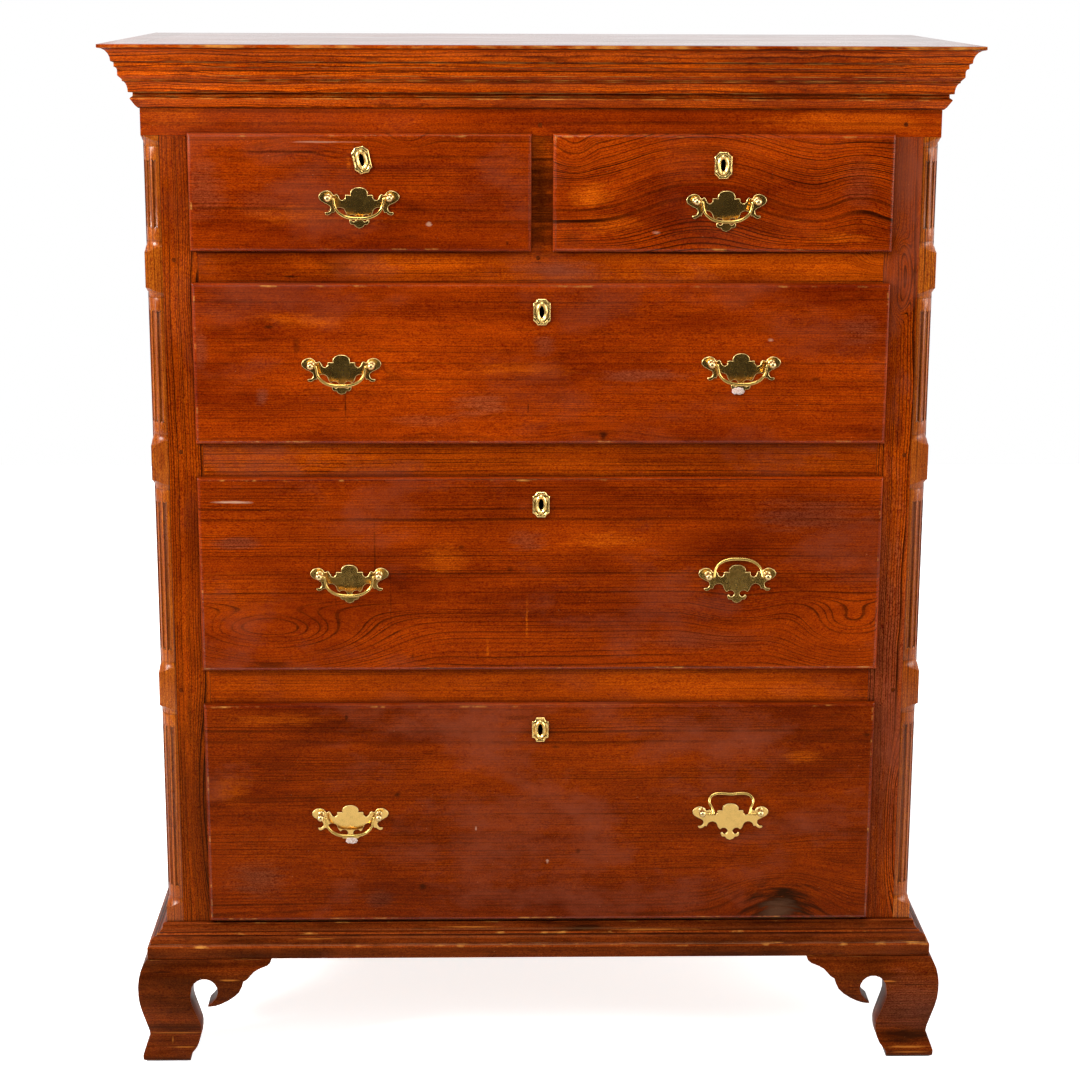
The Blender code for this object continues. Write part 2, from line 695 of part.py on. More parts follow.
def drawer_front(name, room, keyhole, pine, parent):
    """A board with a lip all round that closes against the case, and sockets for the sides' dovetails."""
    x0, x1 = room.left - LIP_SIDE, room.right + LIP_SIDE
    z0, z1 = room.low - LIP_EDGE, room.high + LIP_EDGE
    bm = box(((x0, x1), (-LIP_PROUD, -GAP), (z0, z1)))
    rim = [e for e in bm.edges if all(v.co.y < -LIP_PROUD / 2 for v in e.verts)]
    bmesh.ops.bevel(bm, geom=rim, offset=LIP_ROUND, segments=3, profile=0.5, affect="EDGES")
    front = put(f"{name}_front", bm, pine, parent)
    join(front, "body", box(((room.x0, room.x1), (-LIP_PROUD / 2, FRONT_BODY), (room.z0, room.z1))))
    comb = sockets(room)
    for end, a, b in (("left", room.x0 - GAP, room.x0 + DRAWER_SIDE + GAP),
                      ("right", room.x1 - DRAWER_SIDE - GAP, room.x1 + GAP)):
        for i in range(0, len(comb), 4):
            tail = comb[i:i + 4]
            behind = [(FRONT_BODY + GROOVE_DEPTH, tail[3][1]), (FRONT_BODY + GROOVE_DEPTH, tail[0][1])]
            cut(front, f"{end}_socket{i // 4}", prism(tail + behind, "X", a, b))
    groove = (room.groove - GAP, room.groove + BOTTOM_EDGE + GAP)
    inner = (room.x0 + DRAWER_SIDE - GROOVE_DEPTH, room.x1 - DRAWER_SIDE + GROOVE_DEPTH)
    cut(front, "groove", box((inner, (FRONT_BODY - GROOVE_DEPTH, FRONT_BODY + GAP), groove)))
    x, z = keyhole
    slot = shifted(stadium(KEYHOLE_WIDTH, KEYHOLE_HEIGHT), x, z)
    cut(front, "keyhole", prism(slot, "Y", -2 * LIP_PROUD, 2 * FRONT_BODY))
    case, plate, selvage = lock_bounds(room, x, z)
    cut(front, "lock_mortise", box(grown(case, GAP)))
    cut(front, "plate_recess", box(grown(plate, GAP)))
    cut(front, "selvage_recess", box(grown(selvage, GAP)))
    return front


def shifted(outline, across, up):
    return [(a + across, b + up) for a, b in outline]


def grown(bounds, by):
    return [(low - by, high + by) for low, high in bounds]


def stadium(width, height, spans=3):
    """An upright slot outline with round ends, counted from its middle."""
    r = width / 2
    straight = height / 2 - r
    top = [(r * math.cos(math.pi * i / spans), straight + r * math.sin(math.pi * i / spans))
           for i in range(spans + 1)]
    return top + [(-a, -b) for a, b in top]


def drawer_box(name, room, pine, parent):
    """Both sides and the back, dovetailed up as one, with a groove for the bottom."""
    outline = tails(room, 0)
    left = put(f"{name}_box", prism(outline, "X", room.x0, room.x0 + DRAWER_SIDE), pine, parent)
    join(left, "right_side", prism(outline, "X", room.x1 - DRAWER_SIDE, room.x1))
    upper = room.groove + BOTTOM_EDGE + GAP
    back = ((room.x0 + GAP, room.x1 - GAP), (room.back - DRAWER_BACK, room.back - GAP),
            (upper, room.z1 - BACK_LOWER))
    join(left, "back", box(back))
    ploughed = (FRONT_BODY - TAIL_LENGTH - GROOVE_DEPTH, room.back + GROOVE_DEPTH)
    level = (room.groove - GAP, upper)
    inner = (room.x0 + DRAWER_SIDE - GROOVE_DEPTH, room.x1 - DRAWER_SIDE + GROOVE_DEPTH)
    cut(left, "groove", box((inner, ploughed, level)))


def drawer_bottom(name, room, pine, parent):
    """A board that is feathered on its underside to run in the grooves, and passes under the back."""
    reach = GROOVE_DEPTH - GAP
    x0, x1 = room.x0 + DRAWER_SIDE - reach, room.x1 - DRAWER_SIDE + reach
    y0, y1 = FRONT_BODY - reach, room.back
    top = room.groove + BOTTOM_EDGE
    rings = []
    for inset, z in ((0, top), (0, room.groove), (GROOVE_DEPTH, room.groove),
                     (BOTTOM_FEATHER, top - BOTTOM_THICK)):
        rings.append([(x, y, z) for x, y in rectangle(x0 + inset, x1 - inset, y0 + inset, y1)])
    put(f"{name}_bottom", loft(rings), pine, parent)


def lock_bounds(room, x, z):
    """Lock case, back plate and selvage as boxes inside the front, round a keyhole's middle."""
    half = LOCK_WIDTH / 2
    low = z - LOCK_BELOW
    back = FRONT_BODY
    inner_top = room.z1 - LOCK_SELVAGE
    case = [(x - half + LOCK_BORDER, x + half - LOCK_BORDER), (back - LOCK_BODY, back),
            (low + LOCK_BORDER, inner_top)]
    plate = [(x - half, x + half), (back - LOCK_PLATE, back), (low, room.z1)]
    selvage = [(x - half, x + half), (back - LOCK_BODY, back), (inner_top, room.z1)]
    return case, plate, selvage


def lock(name, room, keyhole, iron, parent):
    """A closed lock case let into the back of the front, with its keyhole and drill pin."""
    x, z = keyhole
    case, plate, selvage = lock_bounds(room, x, z)
    body = put(f"{name}_lock", box(plate), iron, parent)
    across, (near, far), (low, high) = case
    join(body, "case", box((across, (near, far - GAP), (low, high + GAP))))
    across, deep, (low, high) = selvage
    join(body, "selvage", box((across, (deep[0], deep[1] - GAP), (low, high - GAP))))
    depth = FRONT_BODY - LOCK_PLATE - GAP
    hole = prism(shifted(stadium(KEYHOLE_WIDTH, KEYHOLE_HEIGHT), x, z), "Y", near - GAP, depth)
    cut(body, "keyhole", hole)
    pin = bmesh.new()
    radius, middle = KEYHOLE_WIDTH / 5, z + KEYHOLE_HEIGHT / 4
    turns = [2 * math.pi * i / 6 for i in range(6)]
    rings = [[(x + radius * math.cos(a), y, middle + radius * math.sin(a)) for a in turns]
             for y in (near, depth + GAP)]
    add_loft(pin, rings)
    join(body, "drill_pin", pin)


def escutcheon(name, keyhole, tilt, brass, parent):
    """A cast ring round the keyhole: a long octagon outside, stepping up to a round-ended rim."""
    x, z = keyhole
    w, h, c = PLATE_RING_WIDTH / 2, PLATE_RING_HEIGHT / 2, PLATE_RING_CHAMFER
    corners = [(w, 0), (w, h - c), (w - c, h), (0, h), (-w + c, h), (-w, h - c)]
    octagon = corners + [(-a, -b) for a, b in corners]
    inner = []
    for a, b in octagon:
        angle = math.atan2(b, a)
        up = KEYHOLE_HEIGHT / 2 * abs(math.sin(angle)) ** 0.7
        inner.append((KEYHOLE_WIDTH / 2 * math.cos(angle), math.copysign(up, b)))
    face = -LIP_PROUD - GAP
    steps = ((0.0, 0.0), (0.0, RING_EDGE), (0.22, RING_THICK), (0.45, RING_THICK * 0.55),
             (0.75, RING_THICK), (1.0, 0.0))
    rings = []
    for share, out in steps:
        rings.append([Vector((a + (p - a) * share, -out, b + (q - b) * share))
                      for (a, b), (p, q) in zip(octagon, inner)])
    bm = bmesh.new()
    made = [[bm.verts.new(point) for point in ring] for ring in rings]
    for low, high in zip(made, made[1:] + made[:1]):
        for i in range(len(low)):
            j = (i + 1) % len(low)
            bm.faces.new((low[i], low[j], high[j], high[i]))
    ring = put(f"{name}_escutcheon", bm, brass, parent, (x, face, z), smooth=True)
    ring.rotation_euler = (0, math.radians(-tilt), 0)


# Pulls

def plate_outline():
    half = (PLATE_TOP_LOBE + PLATE_CUSP[:-1] + PLATE_SIDE_LOBE + PLATE_TAIL[:-1]
            + PLATE_HOLLOW + PLATE_NECK + PLATE_DROP)
    return list(half) + [(-a, b) for a, b in reversed(half[1:-1])]


def turned(profile, sides=8):
    """Rings round the Y axis from (radius, distance in front) pairs."""
    return [[(r * math.cos(2 * math.pi * i / sides), -out, r * math.sin(2 * math.pi * i / sides))
             for i in range(sides)] for r, out in profile]


def pull_plate(name, rise, brass, parent, location):
    """The cut-out plate with its two cast posts, each bored sideways for the bail. Rise is the posts'
    height on it."""
    sheet = prism(shifted(plate_outline(), 0, -rise), "Y", -PLATE_THICK, 0)
    plate = put(name, sheet, brass, parent, location)
    ball = [(POST_BALL * math.sin(a), PLATE_THICK + BALL_OUT - POST_BALL * math.cos(a))
            for a in (math.radians(d) for d in (40, 90, 145))]
    profile = [(POST_FOOT, PLATE_THICK / 2), (POST_FOOT, PLATE_THICK * 1.5),
               (POST_STEM, PLATE_THICK * 2.2), *ball]
    posts = bmesh.new()
    bores = bmesh.new()
    for side in (-1, 1):
        rings = [[(side * POST_SPACING + a, b, c) for a, b, c in ring] for ring in turned(profile)]
        add_loft(posts, rings)
        bore = PIN_RADIUS + PIN_CLEAR
        hole = [(-PLATE_THICK - BALL_OUT + bore * math.cos(math.pi * i / 3),
                 bore * math.sin(math.pi * i / 3)) for i in range(6)]
        add_prism(bores, hole, "X", *span(side, POST_SPACING - 2 * POST_BALL, POST_SPACING + POST_STEM / 2))
    join(plate, "posts", posts)
    cut(plate, "bores", bores)
    return plate


def bail(name, outline, beaded, raised, brass, parent, location):
    """A bent rod, thicker at the grip, whose turned-out ends sit in the posts. It hangs, or leans back on
    the front."""
    pin_end = POST_SPACING + POST_STEM / 2 - PIN_CLEAR
    depth = -min(b for a, b in outline)
    path = [((pin_end, 0.0), PIN_RADIUS)]
    if beaded:
        ends = ((BEAD_RADIUS * 0.7, PIN_RADIUS), (0.0, BEAD_RADIUS), (-BEAD_RADIUS * 0.7, PIN_RADIUS))
        path += [((BEAD_PLACE + out, 0.0), radius) for out, radius in ends]
    path.append(((outline[0][0] + BAIL_ARM * 1.5, 0.0), PIN_RADIUS))
    path += [((a, b), BAIL_ARM + (BAIL_GRIP - BAIL_ARM) * (b / depth) ** 2) for a, b in outline]
    path += [((-a, b), r) for (a, b), r in reversed(path[:-1])]
    rings = []
    sides = 7
    for i, ((a, b), r) in enumerate(path):
        (a0, b0), (a1, b1) = path[max(i - 1, 0)][0], path[min(i + 1, len(path) - 1)][0]
        length = math.hypot(a1 - a0, b1 - b0)
        across, up = -(b1 - b0) / length, (a1 - a0) / length
        turns = [2 * math.pi * k / sides for k in range(sides)]
        rings.append([(a + across * r * math.cos(t), r * math.sin(t), b + up * r * math.cos(t))
                      for t in turns])
    rod = put(name, loft(rings), brass, parent, location, smooth=True)
    if raised:
        lean = math.asin((BALL_OUT + PLATE_THICK - BAIL_GRIP) / depth)
        rod.rotation_euler = (-math.pi - lean, 0, 0)


def pulls(name, room, places, brass, parent):
    for x, below, state in places:
        label = name if len(places) == 1 else f"{name}_{'left' if x < 0 else 'right'}"
        z = room.high - below
        swan = "swan" in state
        rise = SWAN_RISE if swan else 0
        z += rise
        pull_plate(f"{label}_pull_plate", rise, brass, parent, (x, -LIP_PROUD - GAP, z))
        pivot = (x, -LIP_PROUD - GAP - PLATE_THICK - BALL_OUT, z)
        outline = BAIL_SWAN if swan else BAIL_PLAIN
        bail(f"{label}_bail", outline, swan, "raised" in state, brass, parent, pivot)


def drawers(stained, plain, brass, iron, case):
    for name, row, side, places, (key_x, key_below, tilt) in DRAWERS:
        room = Room(row, side)
        slide = bpy.data.objects.new(f"{name}_slide", None)
        slide.parent = case
        bpy.context.scene.collection.objects.link(slide)
        keyhole = (key_x, room.high - key_below)
        drawer_front(name, room, keyhole, stained, slide)
        drawer_box(name, room, plain, slide)
        drawer_bottom(name, room, plain, slide)
        lock(name, room, keyhole, iron, slide)
        escutcheon(name, keyhole, tilt, brass, slide)
        pulls(name, room, places, brass, slide)


def main():
    clear_scene()
    stained = surface("stained_yellow_pine", (0.36, 0.085, 0.018), 0.38)
    red = surface("red_stained_drawer_pine", (0.25, 0.045, 0.014), 0.36)
    plain = surface("unfinished_yellow_pine", (0.46, 0.24, 0.09), 0.75)
    brass = surface("cast_brass", (0.72, 0.50, 0.19), 0.28, 1.0)
    iron = surface("lock_iron", (0.12, 0.11, 0.10), 0.55, 0.9)
    case = bpy.data.objects.new("case_front_plane", None)
    case.location = (0, FRONT_Y, 0)
    bpy.context.scene.collection.objects.link(case)
    case_sides(stained, case)
    stiles(stained, case)
    rails(stained, case)
    frieze(stained, case)
    bottom_board(plain, case)
    top_board(stained, case)
    back_boards(plain, case)
    cornice(stained, case)
    base_moulding(stained, case)
    corner_columns(stained, case)
    front_feet(stained, case)
    rear_feet(stained, case)
    drawers(red, plain, brass, iron, case)


main()
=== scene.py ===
import json
import math
from functools import partial

import bmesh
import bpy
from bpy.props import FloatProperty, FloatVectorProperty, PointerProperty
from mathutils import Matrix, Vector


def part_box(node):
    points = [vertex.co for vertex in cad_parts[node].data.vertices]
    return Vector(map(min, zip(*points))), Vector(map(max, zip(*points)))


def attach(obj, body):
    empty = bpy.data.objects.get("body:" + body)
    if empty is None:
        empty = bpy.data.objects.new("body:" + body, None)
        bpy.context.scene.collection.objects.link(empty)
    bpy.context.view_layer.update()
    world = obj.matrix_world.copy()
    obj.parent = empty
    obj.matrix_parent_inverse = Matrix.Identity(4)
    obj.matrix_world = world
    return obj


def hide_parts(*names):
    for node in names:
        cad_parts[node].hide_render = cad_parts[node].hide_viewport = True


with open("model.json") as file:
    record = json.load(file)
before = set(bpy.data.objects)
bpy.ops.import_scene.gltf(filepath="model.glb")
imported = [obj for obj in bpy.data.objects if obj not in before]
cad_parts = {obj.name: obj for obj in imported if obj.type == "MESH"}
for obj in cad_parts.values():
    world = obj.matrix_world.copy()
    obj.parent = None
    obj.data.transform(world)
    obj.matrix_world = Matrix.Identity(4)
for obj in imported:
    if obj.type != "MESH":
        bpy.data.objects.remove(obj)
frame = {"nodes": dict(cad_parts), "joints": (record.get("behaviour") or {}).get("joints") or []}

bl_info = {
    "name": "Pine Chest of Drawers",
    "version": (1, 0, 0),
    "blender": (4, 5, 0),
    "location": "3D View > Sidebar > Chest",
    "description": "Stained pine chest with five drawers, quarter columns, bracket feet and brass pulls",
    "category": "Object",
}

MM = 0.001


def linear(hex_colour):
    """A written sRGB colour as the linear one that a shader takes."""
    parts = [int(hex_colour[i:i + 2], 16) / 255 for i in (1, 3, 5)]
    return (*(c / 12.92 if c <= 0.04045 else ((c + 0.055) / 1.055) ** 2.4 for c in parts), 1)


def colour(name, description, default):
    return FloatVectorProperty(name=name, description=description, default=linear(default),
                               size=4, subtype="COLOR", min=0, max=1)


def length(name, description, default):
    return FloatProperty(name=name, description=description, default=default, unit="LENGTH", min=0)


class ChestWood(bpy.types.PropertyGroup):
    case_light: colour("Case, light", "Stained pine of rails, stiles and frieze", "#BC4803")
    case_dark: colour("Case, dark", "The same where the stain sank in more", "#832700")
    case_line: colour("Case, grain lines", "Dense dark summer wood of the case", "#3C1000")
    drawer_light: colour("Drawers, light", "Red-brown stain on the drawer fronts", "#AE3B02")
    drawer_dark: colour("Drawers, dark", "Drawer fronts where the stain is thicker", "#711B00")
    drawer_line: colour("Drawers, grain lines", "Dense dark summer wood of the drawer fronts", "#330B00")
    foot_light: colour("Feet and base, light", "Dark stain near the floor", "#7A2D08")
    foot_dark: colour("Feet and base, dark", "The darkest stain", "#451503")
    # Bloom in the old varnish, partly a painted sheen that stands for the room reflected in the satin varnish
    bloom_and_sheen: colour("Haze", "Greyish purple bloom in the old varnish", "#86402A")
    worn: colour("Worn edge", "Wood where hands and cloths have rubbed the stain away", "#D08A3C")
    bare: colour("Bare pine", "Planed pine inside, never stained", "#D69A5E")
    ring: length("Ring spacing", "Distance between two dark lines", 0.0034)
    arris: length("Softened edge", "How far a sharp wooden edge is rubbed away", 0.0007)
    quirk: length("Lip margin", "Distance from a drawer's edge to its field", 0.004)
    step: length("Lip step", "How far the field stands proud of the rounded edge", 0.0008)
    lip_round: length("Lip rounding", "Radius of a drawer's rounded edge", 0.003)


class ChestBrass(bpy.types.PropertyGroup):
    polished: colour("Brass", "Cast and filed brass", "#EACB8A")
    tarnish: colour("Tarnish", "Brown film on the old brass", "#6B4A1C")
    border: length("Plate border", "Width of the filed slope round a plate", 0.0005)
    slope: length("Border depth", "How far that slope falls", 0.0004)


class ChestStage(bpy.types.PropertyGroup):
    floor: colour("Floor", "Paper under the chest", "#F7F7F7")
    lamps: FloatProperty(name="Lamps", description="Power of the studio lamps together", default=1, min=0)


def wood():
    return bpy.context.scene.chest_wood


def brass():
    return bpy.context.scene.chest_brass


# Shader nodes

def add_to(tree, kind, *values, out=0, **settings):
    """One shader node with its settings. Values or links go to its inputs in their order, or by name from a
    dictionary. Gives one of its outputs, or the node itself where out is None."""
    made = tree.nodes.new(f"ShaderNode{kind}")
    for key, value in settings.items():
        setattr(made, key, value)
    inputs = values[0] if values and isinstance(values[0], dict) else dict(enumerate(values))
    for key, value in inputs.items():
        if isinstance(value, bpy.types.NodeSocket):
            tree.links.new(value, made.inputs[key])
        else:
            made.inputs[key].default_value = value
    return made if out is None else made.outputs[out]


def emptied(owner):
    """A new material or world with its nodes cleared, and the call that adds a node to it."""
    owner.use_nodes = True
    owner.node_tree.nodes.clear()
    return owner, partial(add_to, owner.node_tree)


def finish(add, height, strength, distance, surface):
    """The nodes that end every material: a bump of this depth in metres, the surface and the output."""
    bump = add("Bump", {"Height": height, "Strength": strength, "Distance": distance})
    add("OutputMaterial", add("BsdfPrincipled", {**surface, "Normal": bump}), out=None)


def figure(add, points, cells, seed, detail, roughness, out=0):
    """A pattern with this many cells to the metre each way, moved to a place of its own by the seed."""
    shift = (seed, seed * 0.7, seed * 1.3)
    moved = add("VectorMath", points, cells, shift, operation="MULTIPLY_ADD")
    return add("TexNoise", {"Vector": moved, "Scale": 1, "Detail": detail, "Roughness": roughness},
               out=out)


def layered(add, colour, layers):
    """Colours laid over one another, each where its pattern goes from low to high, up to its most."""
    for pattern, low, high, most, over in layers:
        if most:
            cover = add("MapRange", pattern, low, high, 0, most)
            colour = add("Mix", {0: cover, 6: colour, 7: over}, out=2, data_type="RGBA")
    return colour


def away(add, place, x, z, wide, tall):
    """0 at a place on the front, 1 on the ellipse of these half sizes round it, all in millimetres."""
    near = add("Mapping", {"Vector": place, "Location": (x * MM, 0, z * MM),
                           "Scale": (wide * MM, 1000, tall * MM)}, vector_type="TEXTURE")
    return add("VectorMath", near, out="Value", operation="LENGTH")


# Marks by kind, among them painted shade and painted highlights: the first soaked in under the dark grain
# lines, the others lie over them
SOAKED = {"bloom_and_sheen": "#7E3A24", "plum": "#5A1006", "bright_stain_and_highlight": "#D65A08", "film": "#984626"}
LAID_ON = {"soot_and_shade": "#210702", "ash": "#5A3A28", "pale": "#D9A886", "worn": "#B86A24", "dust": "#8C7154"}


def marked(add, place, ragged, marks, tints):
    """A layer for each mark that has one of these tints: an ellipse that fades out with a torn edge."""
    for x, z, wide, tall, kind, most in marks:
        if kind in tints:
            edge = away(add, place, x, z, wide, tall)
            torn = add("Math", ragged, 1.1, edge, operation="MULTIPLY_ADD")
            yield torn, 1.5, 0.85, most, linear(tints[kind])


TURNS = {"X": (0, 0, 0), "Y": (0, 0, -math.pi / 2), "Z": (0, math.pi / 2, 0)}
# One year of the wood: (part of the year, share of the dark line's colour), and that share at both ends
YEAR = ((0.45, 0.02), (0.7, 0.3), (0.8, 1), (0.93, 1))
YEAR_ENDS = 0.05
# How many years' widths the rings wander, the middle of the stain's pattern, how much the fibres change its
# strength, how far from a corner the painted shade reaches (m), and the gloss from which varnish counts as
# polished
WANDER = 3
DEEPEST = 0.67
SWING = 0.52
CORNER_SHADE_REACH = 0.008
POLISHED = 0.3


def pine(name, light, dark, line, grain="X", centre=(0, -0.22, 0), ring=None, bend=0.012,
         reach=(2.2, 9, 9), humps=(), lines=0.8, bands=1, fibres=1, bloom_and_sheen=0, rub=0, corner_shade=0,
         shade=1, shine=0.3, gloss=0.15, seed=0, dashes=0, marks=()):
    """Flat-sawn yellow pine, oil stained and varnished: broad soft spring wood between thin hard dark lines,
    fibres along the board, stain in bands and blotches, and a satin skin that is cloudy in places, partly a
    painted sheen."""
    material, add = emptied(bpy.data.materials.new(name))
    place = add("TexCoord", out="Object")
    board = add("Mapping", {"Vector": place, "Rotation": TURNS[grain]})

    # The log: rings round its centre line, pushed about by a slow sway and by the swells round a knot
    sway = figure(add, board, reach, seed, 4, 0.5, out="Color")
    swayed = add("VectorMath", sway, (0, bend, bend), board, operation="MULTIPLY_ADD")
    for x, z, wide, tall, deep, lift in humps:
        swell = add("MapRange", away(add, place, x, z, wide, tall), 1, 0,
                    interpolation_type="SMOOTHERSTEP")
        swayed = add("VectorMath", swell, (0, deep * MM, lift * MM), swayed, operation="MULTIPLY_ADD")
    log = add("Mapping", {"Vector": swayed, "Location": centre}, vector_type="TEXTURE")
    across = add("VectorMath", log, (0, 1, 1), operation="MULTIPLY")
    radius = add("VectorMath", across, out="Value", operation="LENGTH")
    years = add("Math", radius, 1 / (ring or wood().ring), operation="MULTIPLY")
    uneven = add("TexNoise", {"W": years, "Scale": 0.35, "Detail": 2}, noise_dimensions="1D")
    counted = add("Math", uneven, WANDER, years, operation="MULTIPLY_ADD")
    ramp = add("ValToRGB", add("Math", counted, operation="FRACT"), out=None)
    stops = ramp.color_ramp.elements
    for at, value in YEAR:
        stops.new(at).color = (value, value, value, 1)
    for end in (0, -1):
        stops[end].color = (YEAR_ENDS, YEAR_ENDS, YEAR_ENDS, 1)

    zones = figure(add, log, (4, 30, 30), seed + 3, 4, 0.6)
    fibre = figure(add, swayed, (58, 520, 520), seed, 3, 0.65)
    pores = figure(add, swayed, (430, 900, 900), seed + 19, 2, 0.6)
    streak = figure(add, swayed, (4.5, 70, 70), seed + 7, 3, 0.55)
    torn = figure(add, swayed, (22, 130, 130), seed + 2, 5, 0.7)
    blotch = figure(add, board, (4, 11, 11), seed + 11, 5, 0.62)
    cloud = figure(add, board, (4.5, 8, 8), seed + 27, 6, 0.65)
    dust = add("TexNoise", {"Vector": place, "Scale": 420, "Detail": 1})

    bold = add("MapRange", zones, 0.4, 0.62, 0.4 * lines, 1.1 * lines)
    late = add("Math", ramp.outputs[0], bold, operation="MULTIPLY")
    depth = add("Math", streak, 0.35, blotch, operation="MULTIPLY_ADD")
    ragged = add("MapRange", torn, 0.25, 0.75)
    texture = add("Math", pores, 2.4, fibre, operation="MULTIPLY_ADD")
    grey, hot = (add("MapRange", texture, 1.1, 2.3, (mean - swing) * shade, (mean + swing) * shade)
                 for mean, swing in ((1, SWING * fibres), (1.07, 1.8 * SWING * fibres)))

    stain = layered(add, light, (
        (depth, DEEPEST - 0.2 / bands, DEEPEST + 0.2 / bands, 1, dark), (torn, 0.55, 0.64, dashes, line),
        *marked(add, place, ragged, marks, SOAKED)))
    stain = add("Mix", {0: late, 6: stain, 7: line}, out=2, data_type="RGBA")
    stain = add("Mix", {0: 1, 6: stain, 7: add("CombineColor", grey, hot, hot)}, out=2,
                data_type="RGBA", blend_type="MULTIPLY")
    # The cloudy layer is bloom in the varnish and partly a painted sheen; some laid-on marks are painted shade
    over = [(cloud, 0.52, 0.66, bloom_and_sheen, wood().bloom_and_sheen), *marked(add, place, ragged, marks, LAID_ON),
            (dust, 0.8, 0.83, 0.45, linear("#C98A5A"))]
    if rub:
        patch = figure(add, board, (28, 60, 60), seed + 5, 4, 0.65)
        over.append((patch, 0.62 - 0.35 * rub, 0.74 - 0.2 * rub, 0.8, wood().worn))
    # Painted shade: the stain goes dark where ambient occlusion finds a corner, a crease or the underside of a
    # lip
    if corner_shade:
        corner = add("AmbientOcclusion", {"Distance": CORNER_SHADE_REACH}, out="AO", samples=4)
        over.append((corner, 0.85, 0.35, corner_shade, linear("#180702")))

    # Old varnish shines amber; where it is polished it shines nearly white
    height = add("Math", fibre, 0.5, late, operation="MULTIPLY_ADD")
    finish(add, height, 0.4, 0.00014, {
        "Base Color": layered(add, stain, over), "IOR": 1.5, "Specular IOR Level": gloss,
        "Specular Tint": (1, 0.55, 0.2, 1) if gloss < POLISHED else (1, 0.9, 0.8, 1),
        "Roughness": add("MapRange", cloud, 0.3, 0.7, 0.8 * shine, 1.4 * shine)})
    return material


def cast_brass(name, roughness, film, base=None, seed=0):
    """Cast brass, filed and polished once: a warm mirror, a little uneven, with a brown film and pits."""
    material, add = emptied(bpy.data.materials.new(name))
    place = add("TexCoord", out="Object")
    cloud = figure(add, place, (60, 60, 60), seed, 5, 0.65)
    pits = add("TexNoise", {"Vector": place, "Scale": 1500, "Detail": 2})
    waves = add("TexNoise", {"Vector": place, "Scale": 110, "Detail": 1.5})
    tint = layered(add, base or brass().polished, (
        (cloud, 0.5, 0.72, film, brass().tarnish), (pits, 0.66, 0.74, 0.4 * film, linear("#2A1B0B"))))
    finish(add, waves, 0.15, 0.0004, {
        "Base Color": tint, "Metallic": 1,
        "Roughness": add("MapRange", cloud, 0.35, 0.75, roughness, roughness + 0.18)})
    return material


def forged_iron():
    """Hand-forged iron of the locks, dark with old oil and rust."""
    material, add = emptied(bpy.data.materials.new("forged_iron"))
    scale = add("TexNoise", {"Vector": add("TexCoord", out="Object"), "Scale": 240, "Detail": 5})
    tint = layered(add, linear("#3A3531"), [(scale, 0.5, 0.7, 1, linear("#5A3220"))])
    finish(add, scale, 0.5, 0.0004, {
        "Base Color": tint, "Metallic": 0.85, "Roughness": add("MapRange", scale, 0.3, 0.7, 0.45, 0.7)})
    return material


def chalky_residue():
    """Dried polish that a cloth left beside the brasses: matt, off-white, with pink from the stain."""
    material, add = emptied(bpy.data.materials.new("dried_polish"))
    crumbs = add("TexNoise", {"Vector": add("TexCoord", out="Object"), "Scale": 700, "Detail": 4})
    tint = layered(add, linear("#E6D8CE"), [(crumbs, 0.4, 0.65, 1, linear("#C99C86"))])
    finish(add, crumbs, 0.6, 0.0004, {"Base Color": tint, "Roughness": 0.9})
    return material


# Modelling

def fresh():
    if bpy.context.mode != "OBJECT":
        bpy.ops.object.mode_set(mode="OBJECT")
    bpy.ops.object.select_all(action="DESELECT")


def choose(obj):
    fresh()
    obj.select_set(True)
    bpy.context.view_layer.objects.active = obj


def edit(obj):
    choose(obj)
    bpy.ops.object.mode_set(mode="EDIT")


def pick(obj, kind, wanted):
    """In edit mode, leaves just the wanted faces or edges selected."""
    bpy.ops.mesh.select_mode(type=kind)
    bpy.ops.mesh.select_all(action="DESELECT")
    work = bmesh.from_edit_mesh(obj.data)
    for each in work.faces if kind == "FACE" else work.edges:
        if wanted(each):
            each.select_set(True)
    bmesh.update_edit_mesh(obj.data)


def leave_edit():
    bpy.ops.mesh.select_mode(type="VERT")
    bpy.ops.object.mode_set(mode="OBJECT")


def close_up():
    """In edit mode, merges the points that fall together, turns the faces outward, and leaves edit mode."""
    bpy.ops.mesh.select_all(action="SELECT")
    bpy.ops.mesh.remove_doubles(threshold=0.000002)
    bpy.ops.mesh.normals_make_consistent(inside=False)
    bpy.ops.object.mode_set(mode="OBJECT")


def shade(obj, degrees):
    """Smooth shading over every edge that turns less than this."""
    choose(obj)
    bpy.ops.object.shade_smooth_by_angle(angle=math.radians(degrees))
    return obj


def smooth(points, steps=3):
    """A curve through the points, with this many spans between two of them."""
    ends = [points[0], *points, points[-1]]
    found = []
    for a, b, c, d in zip(ends, ends[1:], ends[2:], ends[3:]):
        for i in range(steps):
            t = i / steps
            found.append(tuple(0.5 * (2 * q + (r - p) * t + (2 * p - 5 * q + 4 * r - s) * t**2
                                      + (3 * q - p - 3 * r + s) * t**3)
                               for p, q, r, s in zip(a, b, c, d)))
    return found + [tuple(points[-1])]


def turned(profile, count, squash=1):
    """The round sections, for drawn_out, of something turned to this profile: (radius, how far out)."""
    turns = [math.tau * i / count for i in range(count)]
    return [[(r * math.cos(a), -out, squash * r * math.sin(a)) for a in turns] for r, out in profile]


